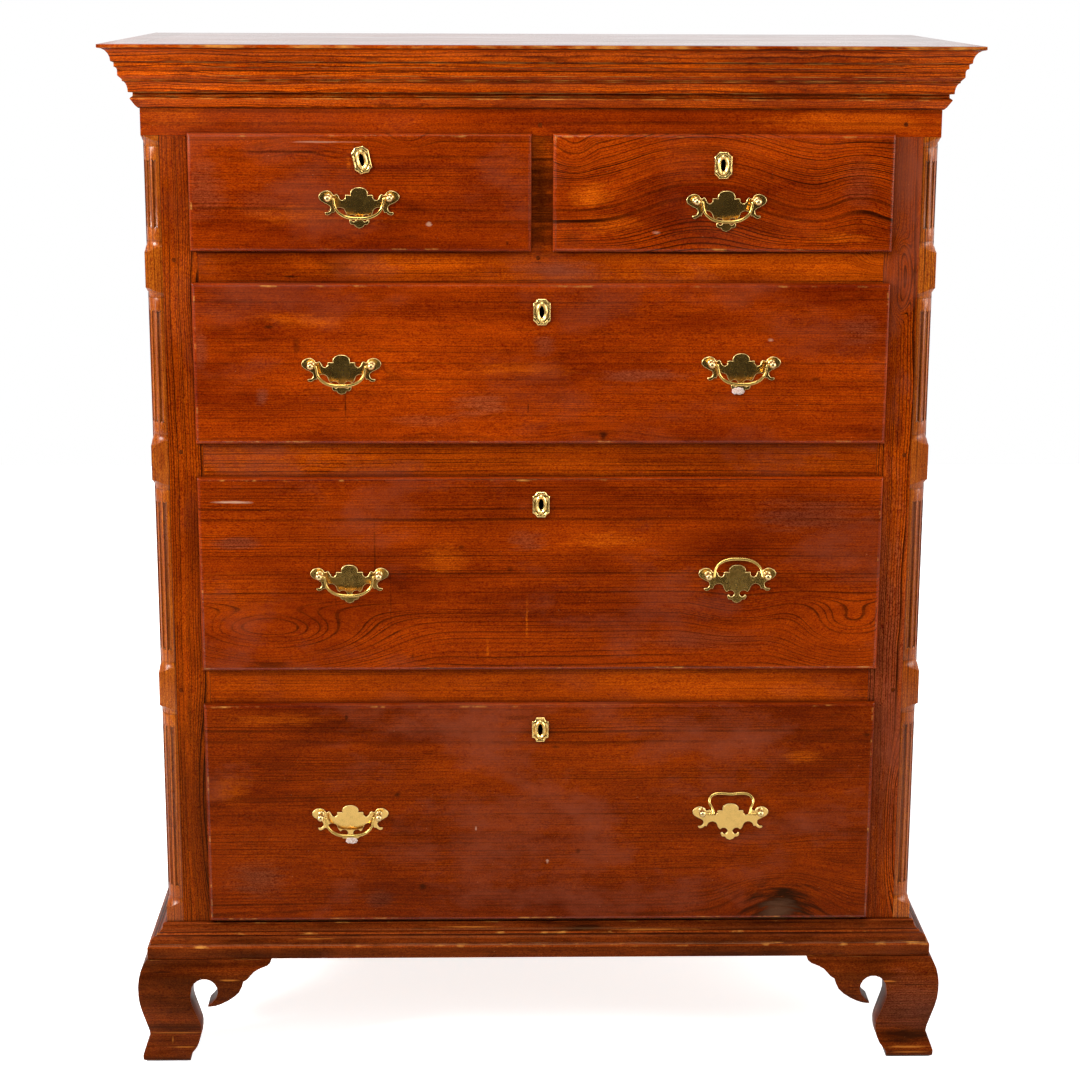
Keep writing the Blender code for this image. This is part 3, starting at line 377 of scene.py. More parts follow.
def drawn_out(name, rings, degrees, hollow=False):
    """A flat outline extruded from section to section. Hollow is a ring: its last section meets the first."""
    fresh()
    bpy.ops.mesh.primitive_circle_add(vertices=len(rings[0]), radius=0.01,
                                      fill_type="NOTHING" if hollow else "NGON")
    obj = bpy.context.object
    obj.name = obj.data.name = name
    bpy.ops.object.mode_set(mode="EDIT")
    work = bmesh.from_edit_mesh(obj.data)
    place = work.verts.layers.int.new("place")
    for i, vert in enumerate(sorted(work.verts, key=lambda v: v.index)):
        vert[place] = i
        vert.co = rings[0][i]
    for ring in rings[1:]:
        bpy.ops.mesh.extrude_region_move()
        work = bmesh.from_edit_mesh(obj.data)
        place = work.verts.layers.int["place"]
        for vert in work.verts:
            if vert.select:
                vert.co = ring[vert[place]]
    bmesh.update_edit_mesh(obj.data)
    close_up()
    obj.data.attributes.remove(obj.data.attributes["place"])
    return shade(obj, degrees)


def twin(obj, name, move, turn=0):
    """A copy with its own mesh, turned about the line across the chest and then moved."""
    fresh()
    made = obj.copy()
    made.data = obj.data.copy()
    made.name = made.data.name = name
    bpy.context.collection.objects.link(made)
    made.data.transform(Matrix.Translation(move) @ Matrix.Rotation(turn, 4, "X"))
    return made


def from_solid(name, node, arris, shape=None):
    """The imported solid's own form, merged, shaped further, and with its sharp edges rubbed round. The rounded
    faces take the second material."""
    fresh()
    obj = bpy.data.objects.new(name, frame["nodes"][node].data.copy())
    bpy.context.collection.objects.link(obj)
    obj.data.materials.clear()
    edit(obj)
    bpy.ops.mesh.select_all(action="SELECT")
    bpy.ops.mesh.customdata_custom_splitnormals_clear()
    bpy.ops.mesh.remove_doubles(threshold=0.00002)
    bpy.ops.mesh.dissolve_limited(angle_limit=math.radians(1))
    bpy.ops.mesh.normals_make_consistent(inside=False)
    bpy.ops.object.mode_set(mode="OBJECT")
    for _ in range(2):
        obj.data.materials.append(None)
    if shape:
        shape(obj)
    choose(obj)
    bevel = obj.modifiers.new("bevel", "BEVEL")
    bevel.width = arris
    bevel.segments = 2
    bevel.limit_method = "ANGLE"
    bevel.angle_limit = math.radians(30)
    bevel.material = 1
    bpy.ops.object.modifier_apply(modifier=bevel.name)
    return shade(obj, 32)


def settle(obj, body, slot, *materials, replaces=()):
    """Gives a piece its finish, its body and the solid that it stands for."""
    slots = obj.data.materials
    for i, material in enumerate(materials):
        if i == len(slots):
            slots.append(None)
        slots[i] = material
    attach(obj, body)
    if replaces:
        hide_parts(*replaces)


def paint(node, material):
    """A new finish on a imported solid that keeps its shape."""
    slots = frame["nodes"][node].data.materials
    for i in range(len(slots)):
        slots[i] = material


def hinge_line(label):
    """The middle of the line that a bail turns on."""
    name = f"{label}_bail_hinge"
    return next(Vector(joint["pos_m"]) for joint in frame["joints"] if joint["name"] == name)


# Pieces

PULLS = ("drawer_1", "drawer_2", "drawer_3_left", "drawer_3_right", "drawer_4_left", "drawer_4_right",
         "drawer_5_left", "drawer_5_right")

# Outlines of the brasses, half of each, in millimetres: (across, up) from the line through the posts
# The plate's edge, in stretches that meet at its sharp corners
PLATE_EDGE = (
    ((0, 12.3), (4.8, 11.7), (9, 9.1), (10.8, 5.3), (10.5, 2.5)),
    ((10.5, 2.5), (16.8, 2.7), (17.3, -0.7), (20.5, -3.7), (24, -2.2), (26.2, 2.2), (28, 3.8), (30.6, 2.6),
     (32.4, 2.6)),
    ((32.4, 2.6), (35.2, 6.6), (40.2, 8.2), (46.2, 6.6), (50.3, 1.8), (48.8, -3.3), (43.8, -6.8),
     (37.4, -10.2), (35.7, -13.5), (36.4, -16.5)),
    ((36.4, -16.5), (38.7, -18.6), (42.6, -19), (42.2, -21.2), (39.6, -22.2), (36.5, -21.2), (33.8, -19),
     (31.4, -19.4)),
    ((31.4, -19.4), (29, -14.6), (23.8, -12.6), (18.7, -14.8), (16.3, -20.5)),
    ((16.3, -20.5), (13.5, -23.7), (10.4, -21.7), (6.2, -22.1), (3.4, -25), (3.6, -27.5)),
    ((3.6, -27.5), (6, -30.2), (8.8, -29.8), (10.1, -27.9), (11.9, -28.4), (12.1, -31.2), (10, -33.8),
     (6.4, -34.2), (4.8, -36.6), (0, -38.6)),
)
BAIL_PLAIN = (
    (30.2, -1), (30.6, -5.7), (29.1, -11.8), (25, -17.6), (18.1, -22.1), (9.2, -24.5), (0, -24.9))
BAIL_SWAN = (
    (23.4, -1.2), (25.6, -7.6), (28.5, -13.8), (28.6, -20), (24.7, -25.4), (17.5, -27.6), (8.5, -27.4),
    (0, -26.6))
# The bails' ends from the post inward: (across, up, radius). The swan-necked one has beads on its ends
PLAIN_END = ((39.4, 0, 1.2), (33.9, 0, 1.2), (33.4, 0, 1.8), (32.5, -0.2, 2.1),
             (31.4, -0.8, 1.7))
SWAN_END = ((39.4, 0, 1.3), (33, 0, 1.3), (32.2, 0, 1.9), (30.8, 0, 2.4),
            (29.4, 0, 1.9), (28.6, 0, 1.4), (26.6, 0, 1.4), (25.6, 0, 2.1),
            (24.3, -0.6, 2.3))
# An escutcheon: sections of its rim (cut corner, scale, share of the dip, how far out) and the ovals of its
# lip (width, height, how far out)
SCUTCHEON_WIDE = 22.2
SCUTCHEON_TALL = 34
SCUTCHEON_RIM = ((5.6, 1, 1, 0), (5.6, 1, 1, 0.6), (5.8, 0.97, 1, 1.4),
                 (6.2, 0.91, 1, 2.1), (6.6, 0.85, 1, 2.2), (6.8, 0.78, 0.5, 1.5))
SCUTCHEON_LIP = ((15.8, 26.8, 1), (14, 24.8, 1.8), (12.4, 23, 2.8),
                 (10.8, 21.2, 3.1), (9.2, 19.3, 2.7), (7.8, 17.6, 1.6),
                 (6.6, 16.2, 1.2), (6.2, 15.7, 0))
# The rod's thinnest radius, also in millimetres
ROD = 1.6
# Metres: the plate's sheet, half the distance between posts, the ball's middle and its radius, and how far a
# raised bail's middle stands from the front
PLATE_THICK = 0.0016
POST_SPACING = 0.0384
BALL_OUT = 0.015
BALL = 0.0046
REST_GAP = 0.0026
# Metres: the softened edge of fine work, the slope beside a drawer's field, the fillet that ends the cornice,
# and how near a point must be to count as on a face
FINE_ARRIS = 0.0004
STEP_SLOPE = 0.0006
TOP_FILLET = 0.006
NEAR = 0.0001
CRUST_POINTS = 28

# Each drawer front's board, with its swells in millimetres: across, up, half width, half height, deep, lift
DRAWER_BOARDS = {
    "drawer_1": dict(centre=(-0.2, -0.21, 0.88), bloom_and_sheen=0.35, seed=21, lines=0.6,
                     humps=((-170, 1225, 50, 20, 0, 10), (-300, 1220, 70, 25, 0, -8))),
    "drawer_2": dict(centre=(0.1, -0.22, 0.88), bloom_and_sheen=0.15, seed=22, lines=1, bend=0.016, bands=1.5,
                     humps=((200, 1190, 170, 160, 0, -34), (400, 1165, 70, 90, 0, -14),
                            (40, 1210, 40, 40, 0, 12))),
    "drawer_3": dict(centre=(0, -0.21, 0.62), bloom_and_sheen=0.3, seed=23, lines=0.5, ring=0.003,
                     humps=((80, 850, 100, 30, 0, -10),)),
    # Drawers 4 and 5 are darkened (shade): painted shade of the lamps' light falling off toward the floor
    "drawer_4": dict(centre=(-0.38, -0.165, 0.535), bloom_and_sheen=0.4, seed=24, lines=0.72, bend=0.008, shade=0.86,
                     dashes=0.1, ring=0.003,
                     humps=((-350, 583, 260, 75, -48, 0), (410, 590, 140, 70, -34, 6),
                            (260, 610, 100, 60, 0, 12))),
    "drawer_5": dict(centre=(-0.1, -0.2, 0.2), bloom_and_sheen=0.5, seed=25, lines=0.6, bend=0.016, shade=0.64,
                     humps=((325, 212, 120, 110, 0, -36), (300, 290, 100, 50, -20, 0))),
}
# Stains, scratches, worn dashes, painted shade in creases and under lips, and painted highlights, by piece, in
# millimetres: across, up, half width, half height, kind, strength
MARKS = {
    "drawer_1": (
        (-270, 1225, 48.9, 1.3, "pale", 0.35), (-241, 1199, 3.9, 11.6, "bright_stain_and_highlight", 0.6),
        (-142, 1124, 3.9, 3.9, "pale", 0.5), (-168, 1231, 20.6, 5.1, "soot_and_shade", 0.45),
        (-423, 1163, 30.9, 43.8, "bloom_and_sheen", 0.41), (-350, 1147, 33.5, 20.6, "bloom_and_sheen", 0.22),
        (-303, 1135, 77.2, 15.4, "bright_stain_and_highlight", 0.25), (-44, 1100, 2.6, 3.9, "soot_and_shade", 0.6),
        (-330, 1213, 110, 2.2, "soot_and_shade", 0.6), (-120, 1207, 100, 2, "soot_and_shade", 0.55),
        (-160, 1193, 130, 10, "plum", 0.55), (-80, 1160, 70, 50, "plum", 0.3)),
    "drawer_2": (
        (62, 1159, 33.5, 19.3, "bright_stain_and_highlight", 0.75), (88, 1123, 43.8, 15.4, "bright_stain_and_highlight", 0.4),
        (287, 1182, 3.9, 3.9, "soot_and_shade", 0.45), (144, 1113, 6.4, 2.6, "pale", 0.35),
        (398, 1173, 25.7, 38.6, "bloom_and_sheen", 0.3), (39, 1106, 18, 10.3, "soot_and_shade", 0.35),
        (375, 1107, 51.5, 10.3, "bright_stain_and_highlight", 0.4), (197, 1216, 51.5, 7.7, "soot_and_shade", 0.3)),
    "drawer_3": (
        (-345, 994, 9, 3.2, "soot_and_shade", 0.75), (-356, 903, 10.3, 12.9, "bloom_and_sheen", 0.63),
        (-311, 969, 5.1, 12.9, "soot_and_shade", 0.4), (-250, 894, 1.5, 30.9, "soot_and_shade", 0.65),
        (-266, 887, 11.6, 2.6, "soot_and_shade", 0.35), (80, 853, 6.4, 7.7, "soot_and_shade", 0.75),
        (75, 857, 33.5, 3.9, "soot_and_shade", 0.35), (125, 932, 79.8, 9, "bloom_and_sheen", 0.55),
        (407, 991, 33.5, 25.7, "bloom_and_sheen", 0.46), (-75, 893, 43.8, 21.9, "film", 0.5),
        (-149, 874, 51.5, 10.3, "film", 0.3), (291, 977, 5.1, 2.6, "pale", 0.5),
        (-433, 964, 12.9, 33.5, "bloom_and_sheen", 0.46), (4, 971, 18, 20.6, "bloom_and_sheen", 0.41),
        (-17, 890, 1.5, 7.7, "soot_and_shade", 0.6), (350, 927, 6.4, 2.6, "soot_and_shade", 0.5),
        (-306, 1002, 77.2, 11.6, "bright_stain_and_highlight", 0.35), (-28, 939, 90.1, 10.3, "bright_stain_and_highlight", 0.3)),
    "drawer_4": (
        (-399, 767, 24.5, 2.1, "pale", 0.7), (-215, 690, 1.7, 54.1, "soot_and_shade", 0.55),
        (-266, 664, 1.3, 51.5, "soot_and_shade", 0.3), (-242, 674, 1.3, 46.3, "soot_and_shade", 0.3),
        (-287, 677, 1.3, 57.9, "soot_and_shade", 0.3), (-195, 637, 1.3, 51.5, "soot_and_shade", 0.3),
        (-356, 549, 36, 6.4, "soot_and_shade", 0.55), (-394, 712, 36, 11.6, "bloom_and_sheen", 0.63),
        (354, 749, 95.2, 33.5, "bloom_and_sheen", 0.46), (-17, 716, 28.3, 18, "bloom_and_sheen", 0.46),
        (-122, 690, 36, 28.3, "bright_stain_and_highlight", 0.45), (84, 716, 56.6, 12.9, "bright_stain_and_highlight", 0.45),
        (-18, 607, 1.8, 43.8, "bright_stain_and_highlight", 0.55), (-69, 569, 2.1, 20.6, "bright_stain_and_highlight", 0.5),
        (-103, 707, 5.1, 3.2, "soot_and_shade", 0.6), (-40, 677, 5.1, 3.9, "soot_and_shade", 0.5),
        (-167, 560, 3.2, 6.4, "soot_and_shade", 0.5), (209, 582, 115.8, 18, "bloom_and_sheen", 0.32),
        (-403, 640, 77.2, 38.6, "bright_stain_and_highlight", 0.12)),
    "drawer_5": (
        (325, 212, 62, 40, "soot_and_shade", 1), (322, 206, 30, 19, "ash", 0.75),
        (-376, 251, 46.3, 30.9, "bloom_and_sheen", 0.63), (-216, 223, 27, 15.4, "bloom_and_sheen", 0.75),
        (27, 308, 128.7, 9, "plum", 0.5), (347, 421, 33.5, 11.6, "bright_stain_and_highlight", 0.55),
        (-255, 477, 2.6, 7.7, "soot_and_shade", 0.65), (-189, 371, 6.4, 3.9, "soot_and_shade", 0.75),
        (-157, 241, 6.4, 5.1, "soot_and_shade", 0.75), (51, 290, 3.9, 5.1, "soot_and_shade", 0.5),
        (-29, 477, 25.7, 3.9, "soot_and_shade", 0.35), (20, 436, 7.7, 3.2, "soot_and_shade", 0.55),
        (-85, 322, 1.5, 3.9, "pale", 0.5), (10, 275, 2.6, 3.9, "pale", 0.5),
        (-410, 377, 33.5, 25.7, "bright_stain_and_highlight", 0.35), (-348, 474, 90.1, 10.3, "bright_stain_and_highlight", 0.4),
        (-316, 440, 77.2, 7.7, "plum", 0.4), (432, 451, 5.1, 3.9, "soot_and_shade", 0.6),
        (133, 361, 193, 51.5, "plum", 0.22), (50, 215, 500, 70, "plum", 0.5)),
    # The cornice's long dark lines are painted shade under the steps of its profile, and its long bright bands
    # painted highlights on the fillets
    "cornice": (
        (0, 1339.5, 1400, 1.4, "soot_and_shade", 0.8), (0, 1322.8, 1400, 2.1, "soot_and_shade", 0.95),
        (0, 1312.2, 1400, 1.8, "soot_and_shade", 0.8), (0, 1300.8, 1400, 2.1, "soot_and_shade", 0.9),
        (0, 1298.5, 1400, 1.2, "soot_and_shade", 0.6), (0, 1285, 1400, 2.2, "soot_and_shade", 0.95),
        (0, 1280, 1400, 1.6, "soot_and_shade", 0.8), (0, 1266, 1400, 2.2, "soot_and_shade", 0.85),
        (0, 1319.5, 1400, 4, "bright_stain_and_highlight", 0.25), (0, 1309.3, 1400, 4.5, "bright_stain_and_highlight", 0.25),
        (0, 1294, 1400, 6, "bright_stain_and_highlight", 0.2), (0, 1333, 1400, 6, "bright_stain_and_highlight", 0.25)),
    # The base's two long dark lines are painted shade in the creases of its profile; the grey line is dust
    "base_moulding": (
        (0, 162.6, 1400, 1.3, "dust", 0.85), (0, 174.2, 1400, 1.4, "soot_and_shade", 0.85),
        (0, 176.8, 1400, 1.2, "soot_and_shade", 0.7), (60, 180, 45, 6, "soot_and_shade", 0.85),
        (-100, 181.2, 50, 1.2, "worn", 0.8), (150, 177.5, 90, 0.9, "worn", 0.6),
        (-300, 170.5, 30, 0.9, "worn", 0.6), (330, 185, 100, 1, "soot_and_shade", 0.7)),
    # The feet's broad dark bands are painted shade in the hollow waist and under the toe; the pale band low on
    # the right foot's toe is wear and partly a painted highlight on its bulge
    "front_left_foot": (
        (-480, 94, 62, 1, "soot_and_shade", 0.9), (-485, 38.5, 75, 1.3, "worn", 0.8),
        (-495, 47, 70, 12, "soot_and_shade", 0.5), (-498, 29, 60, 8, "soot_and_shade", 0.4), (-500, 3, 70, 5, "soot_and_shade", 0.6),
        (-414, 118.5, 16, 1.4, "worn", 0.8), (-437, 96.1, 7, 2.2, "worn", 0.8),
        (-478, 20, 26, 1.2, "worn", 0.7), (-494, 29, 1.5, 5, "worn", 0.5),
        (-505, 130, 18, 1, "soot_and_shade", 0.8)),
    "front_right_foot": (
        (505, 107.3, 40, 1.1, "soot_and_shade", 0.9), (424, 104, 16, 1, "soot_and_shade", 0.8), (498, 29, 60, 12, "soot_and_shade", 0.9),
        (499, 15, 40, 2.2, "worn", 0.8), (503, 8, 35, 1.6, "worn", 0.6),
        (469, 112.4, 14, 1.6, "worn", 0.8), (500, 80, 70, 50, "bloom_and_sheen", 0.5), (499, 2, 70, 4, "soot_and_shade", 0.6)),
    # The large soft dark patch makes the left stile darker towards the bottom
    "left_stile": (
        (-455, 300, 60, 330, "soot_and_shade", 0.45), (-447, 720, 14, 60, "soot_and_shade", 0.3)),
    "right_stile": (
        (455, 520, 60, 330, "bloom_and_sheen", 0.55), (462, 860, 7, 30, "plum", 0.6)),
    # The tall dark patch in the middle is painted shadow of drawer 1 on the divider
    "frieze_board": (
        (-460, 1262, 60, 30, "bright_stain_and_highlight", 0.35), (400, 1250, 140, 20, "bright_stain_and_highlight", 0.4),
        (20, 1250, 100, 12, "plum", 0.3), (0, 1160, 30, 90, "soot_and_shade", 0.75)),
    # The tall patch in the middle is painted shadow of drawer 1 on the divider, and the two long thin bands
    # near the top are painted shadow under the lips of drawers 1 and 2
    "rail_1": (
        (-318, 1056, 15, 2.2, "soot_and_shade", 0.95), (-345, 1059, 7, 1.5, "soot_and_shade", 0.8),
        (-260, 1068, 30, 12, "soot_and_shade", 0.35), (20, 1066, 60, 12, "bloom_and_sheen", 0.6),
        (0, 1160, 30, 90, "soot_and_shade", 0.75), (235, 1086.8, 250, 2.4, "soot_and_shade", 0.8),
        (-240, 1087.2, 240, 1.6, "soot_and_shade", 0.6)),
}
# Middles of the pegs, across and up (m)
PEGS = (
    (-0.003, 1.2457), (-0.0049, 1.0799), (-0.4632, 1.0769), (0.4549, 1.2474), (-0.4619, 0.8307),
    (0.469, 0.8261), (-0.4716, 0.5125), (0.4662, 0.5097))

# Camera, worked out from the picture's straight edges
CAMERA_AT = Vector((-0.0699, -3.2769, 1.4347))
FOCAL = 2414.54
YAW = 0.02258
PITCH = 0.23211
ROLL = 0.00372
FILM_WIDE = 36
FRAME_WIDE = 1080


# Operators

class CHEST_OT_stage(bpy.types.Operator):
    """Floor, lamps, surroundings and camera"""
    bl_idname = "chest.stage"
    bl_label = "Stage"

    def execute(self, context):
        look = context.scene.chest_stage
        context.scene.view_settings.view_transform = "Standard"
        fresh()
        bpy.ops.mesh.primitive_plane_add(size=1)
        floor = context.object
        floor.name = "floor"
        floor.data.transform(Matrix.Translation((0, 0.95, 0)) @ Matrix.Diagonal((9, 5.6, 1, 1)))
        material, add = emptied(bpy.data.materials.new("white_paper"))
        rays = add("LightPath", out=None)
        paper = add("BsdfDiffuse", look.floor, 1)
        lit = add("AddShader", paper, add("Emission", look.floor, 0.85))
        seen = add("MixShader", rays.outputs["Is Camera Ray"], paper, lit)
        add("OutputMaterial", seen, out=None)
        floor.data.materials.append(material)
        self.world(context)
        self.lamps(context, look.lamps)
        self.camera(context)
        return {"FINISHED"}

    def world(self, context):
        """The brasses mirror white paper at the sides and overhead, a dark room behind the camera and a dark
        screen at the left. The wood gets an even soft light, and the camera sees white."""
        context.scene.world, add = emptied(bpy.data.worlds.new("studio"))
        rays = add("LightPath", out=None)
        way = add("SeparateXYZ", add("TexCoord", out="Generated"), out=None)
        room = add("MapRange", way.outputs["Y"], -0.72, -0.25, 0.045, 1)
        over = add("MapRange", way.outputs["Z"], 0.55, 0.9, 0, 0.8)
        screen = add("MapRange", way.outputs["X"], -0.85, -0.45, 0.12, 1)
        paper = add("Math", room, screen, operation="MULTIPLY")
        seen = add("Math", paper, over, operation="MAXIMUM")
        mirrored = add("Math", rays.outputs["Is Glossy Ray"], rays.outputs["Is Transmission Ray"],
                       operation="MAXIMUM")
        soft, glint, white = (add("Background", (1, 1, 1, 1), level) for level in (0.18, seen, 1))
        others = add("MixShader", mirrored, soft, glint)
        last = add("MixShader", rays.outputs["Is Camera Ray"], others, white)
        add("OutputWorld", last, out=None)

    def lamps(self, context, level):
        for name, place, aim, size, power in (
                ("key_lamp", (-3.1, -1.6, 2.2), (0, -0.2, 0.9), 1.1, 142),
                ("fill_lamp", (3.1, -1.7, 2), (0, -0.2, 0.9), 1.4, 40),
                ("left_rim_lamp", (-3.2, -0.55, 1.3), (-0.5, -0.2, 0.8), 1.5, 10),
                ("right_rim_lamp", (3.2, -0.55, 1.3), (0.5, -0.2, 0.8), 1.5, 40),
                ("top_lamp", (-0.1, -1.3, 3.3), (0, -0.1, 0.9), 1, 29)):
            lamp = bpy.data.lights.new(name, "AREA")
            lamp.size = size
            lamp.energy = power * level
            obj = bpy.data.objects.new(name, lamp)
            obj.location = place
            obj.rotation_euler = (Vector(aim) - Vector(place)).to_track_quat("-Z", "Y").to_euler()
            context.collection.objects.link(obj)

    def camera(self, context):
        forward = Vector((math.sin(YAW) * math.cos(PITCH), math.cos(YAW) * math.cos(PITCH), -math.sin(PITCH)))
        right = Vector((math.cos(YAW), -math.sin(YAW), 0))
        up = right.cross(forward)
        leaned_right = math.cos(ROLL) * right + math.sin(ROLL) * up
        leaned_up = -math.sin(ROLL) * right + math.cos(ROLL) * up
        turn = Matrix((leaned_right, leaned_up, -forward)).transposed().to_4x4()
        lens = bpy.data.cameras.new("camera")
        lens.sensor_width = FILM_WIDE
        lens.lens = FOCAL / FRAME_WIDE * FILM_WIDE
        camera = bpy.data.objects.new("camera", lens)
        camera.matrix_world = Matrix.Translation(CAMERA_AT) @ turn
        context.collection.objects.link(camera)
        context.scene.camera = camera


class CHEST_OT_case_boards(bpy.types.Operator):
    """Finishes on the sides, stiles, rails, frieze, top, bottom and back"""
    bl_idname = "chest.case_boards"
    bl_label = "Case boards"

    def execute(self, context):
        look = wood()
        case = (look.case_light, look.case_dark, look.case_line)
        drawer = (look.drawer_light, look.drawer_dark, look.drawer_line)
        paint("frieze_board", pine(
            "stained_pine_frieze", *drawer, centre=(0, -0.2, 1), bend=0.01, lines=0.5, bloom_and_sheen=0.15,
            bands=0.8, corner_shade=0.8, shade=1.12, seed=2, marks=MARKS["frieze_board"]))
        rail = dict(corner_shade=0.9)
        stile = dict(grain="Z", lines=1.6, reach=(3.5, 9, 9), corner_shade=0.9, fibres=1.3, ring=0.0028)
        side = dict(grain="Z", bend=0.016, lines=0.7, reach=(1.8, 7, 7), corner_shade=0.4, ring=0.0036, bloom_and_sheen=0.3,
                    shade=0.74)
        for node, shared, facts in (
                ("rail_1", rail, dict(centre=(0, -0.21, 0.94), bloom_and_sheen=0.45, lines=0.85, bands=1.5, seed=40,
                                      humps=((430, 1080, 50, 30, 0, 20),))),
                ("rail_2", rail, dict(centre=(0, -0.21, 0.7), bloom_and_sheen=0.5, lines=1.2, bend=0.02, shade=0.93,
                                      seed=41)),
                ("rail_3", rail, dict(centre=(0, -0.21, 0.4), bloom_and_sheen=0.25, lines=0.6, shade=0.95, seed=42)),
                ("left_stile", stile, dict(
                    centre=(0.6, -0.185, 0.42), bloom_and_sheen=0.2, shade=0.86, seed=4,
                    humps=((-444, 1040, 20, 100, 10, 6), (-450, 350, 30, 200, 15, 0)))),
                ("right_stile", stile, dict(
                    centre=(0.6, -0.185, -0.49), bloom_and_sheen=0.8, shade=0.98, seed=9,
                    humps=((452, 1055, 22, 75, 45, 0), (475, 320, 30, 160, 30, 8)))),
                ("left_side", side, dict(centre=(0.7, 0.03, 0.38), seed=5)),
                ("right_side", side, dict(centre=(0.7, 0.03, -0.38), seed=7))):
            paint(node, pine(f"stained_pine_{node}", *case, marks=MARKS.get(node, ()), **shared, **facts))
        paint("top_board", pine("varnished_pine_top", *case, centre=(0, 0.05, 1.27), bloom_and_sheen=0.2, shine=0.13,
                                gloss=0.5, shade=0.8, seed=6))
        bare = pine("bare_pine_boards", look.bare, linear("#B06A34"), linear("#7A3E18"),
                    centre=(0, 0.12, 0.7), fibres=0.4, lines=0.6, ring=0.005, shade=1.1, shine=0.62, seed=8)
        paint("back_boards", bare)
        paint("bottom_board", bare)
        return {"FINISHED"}


class CHEST_OT_mouldings(bpy.types.Operator):
    """Cornice and base moulding with their edges rubbed round"""
    bl_idname = "chest.mouldings"
    bl_label = "Mouldings"

    def execute(self, context):
        look = wood()
        case = (look.case_light, look.case_dark, linear("#4E1302"))
        grain = dict(centre=(0.3, -0.19, 1.2), bend=0.022, reach=(5, 28, 28), seed=12, ring=0.0034)
        # The cornice's stain is brightened (shade 1.45): painted light on the cove, which faces down and away
        # from the lamps
        body = pine("stained_pine_cornice", *case, bloom_and_sheen=0.1, corner_shade=1, lines=1.3, shade=1.45, bands=1.4,
                    dashes=0.6, marks=MARKS["cornice"], **grain)
        edge = pine("rubbed_pine_cornice", *case, rub=0.45, **grain)
        top = pine("varnished_pine_cornice_top", *case, seed=13, shine=0.13, gloss=0.5, shade=0.8)
        piece = from_solid("cornice_moulding", "cornice", look.arris)
        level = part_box("cornice")[1].z - 0.0005
        for face in piece.data.polygons:
            if face.center.z > level:
                face.material_index = 2
            elif face.center.z > level - TOP_FILLET and abs(face.normal.z) < 0.3:
                face.material_index = 1
        settle(piece, "case", "stained_pine", body, edge, top, replaces=("cornice",))
        base = (look.foot_light, look.foot_dark, look.case_line)
        grain = dict(centre=(0.2, -0.21, 0.02), bloom_and_sheen=0.3, seed=14, shade=0.9)
        body = pine("stained_pine_base", *base, corner_shade=0.8, lines=0.5, bands=1.4, dashes=0.5,
                    marks=MARKS["base_moulding"], **grain)
        edge = pine("rubbed_pine_base", linear("#9A3E10"), look.foot_light, look.case_line, rub=0.14,
                    dashes=0.6, **grain)
        piece = from_solid("base_moulding_run", "base_moulding", look.arris * 1.5)
        settle(piece, "case", "stained_pine", body, edge, replaces=("base_moulding",))
        return {"FINISHED"}


class CHEST_OT_corner_columns(bpy.types.Operator):
    """Fluted quarter columns between square blocks, cut from one corner post on each side"""
    bl_idname = "chest.corner_columns"
    bl_label = "Corner columns"

    def execute(self, context):
        case = (linear("#8C3404"), wood().case_line)
        grain = dict(grain="Z", centre=(0.5, -0.2, 0.4), bend=0.01, seed=16, ring=0.0028, gloss=0.34,
                     shine=0.26)
        for side in ("left", "right"):
            body = pine(f"stained_pine_{side}_column", linear("#C05C0C"), *case, bloom_and_sheen=0.1, corner_shade=1,
                        lines=0.9, shade=0.9, **grain)
            edge = pine(f"rubbed_pine_{side}_column", linear("#C06A2A"), *case, rub=0.3, **grain)
            node = f"{side}_corner_column"
            piece = from_solid(f"{side}_quarter_column", node, FINE_ARRIS)
            settle(piece, "case", "stained_pine", body, edge, replaces=(node,))
        return {"FINISHED"}


class CHEST_OT_feet(bpy.types.Operator):
    """Four ogee bracket feet with worn edges"""
    bl_idname = "chest.feet"
    bl_label = "Bracket feet"

    def execute(self, context):
        look = wood()
        feet = ("front_left_foot", "front_right_foot", "rear_left_foot", "rear_right_foot")
        for i, node in enumerate(feet):
            grain = dict(centre=(0.3, -0.21, -0.12), seed=18 + i, bloom_and_sheen=0.2)
            body = pine(f"stained_pine_foot_{i + 1}", look.foot_light, look.foot_dark, look.case_line,
                        corner_shade=0.6, lines=0.7, fibres=1.2, bands=1.4, dashes=0.35,
                        marks=MARKS.get(node, ()), **grain)
            edge = pine(f"rubbed_pine_foot_{i + 1}", look.case_light, look.foot_light, look.case_line,
                        rub=0.32, **grain)
            piece = from_solid(f"{node}_bracket", node, look.arris * 2.2)
            settle(piece, "case", "stained_pine", body, edge, replaces=(node,))
        return {"FINISHED"}


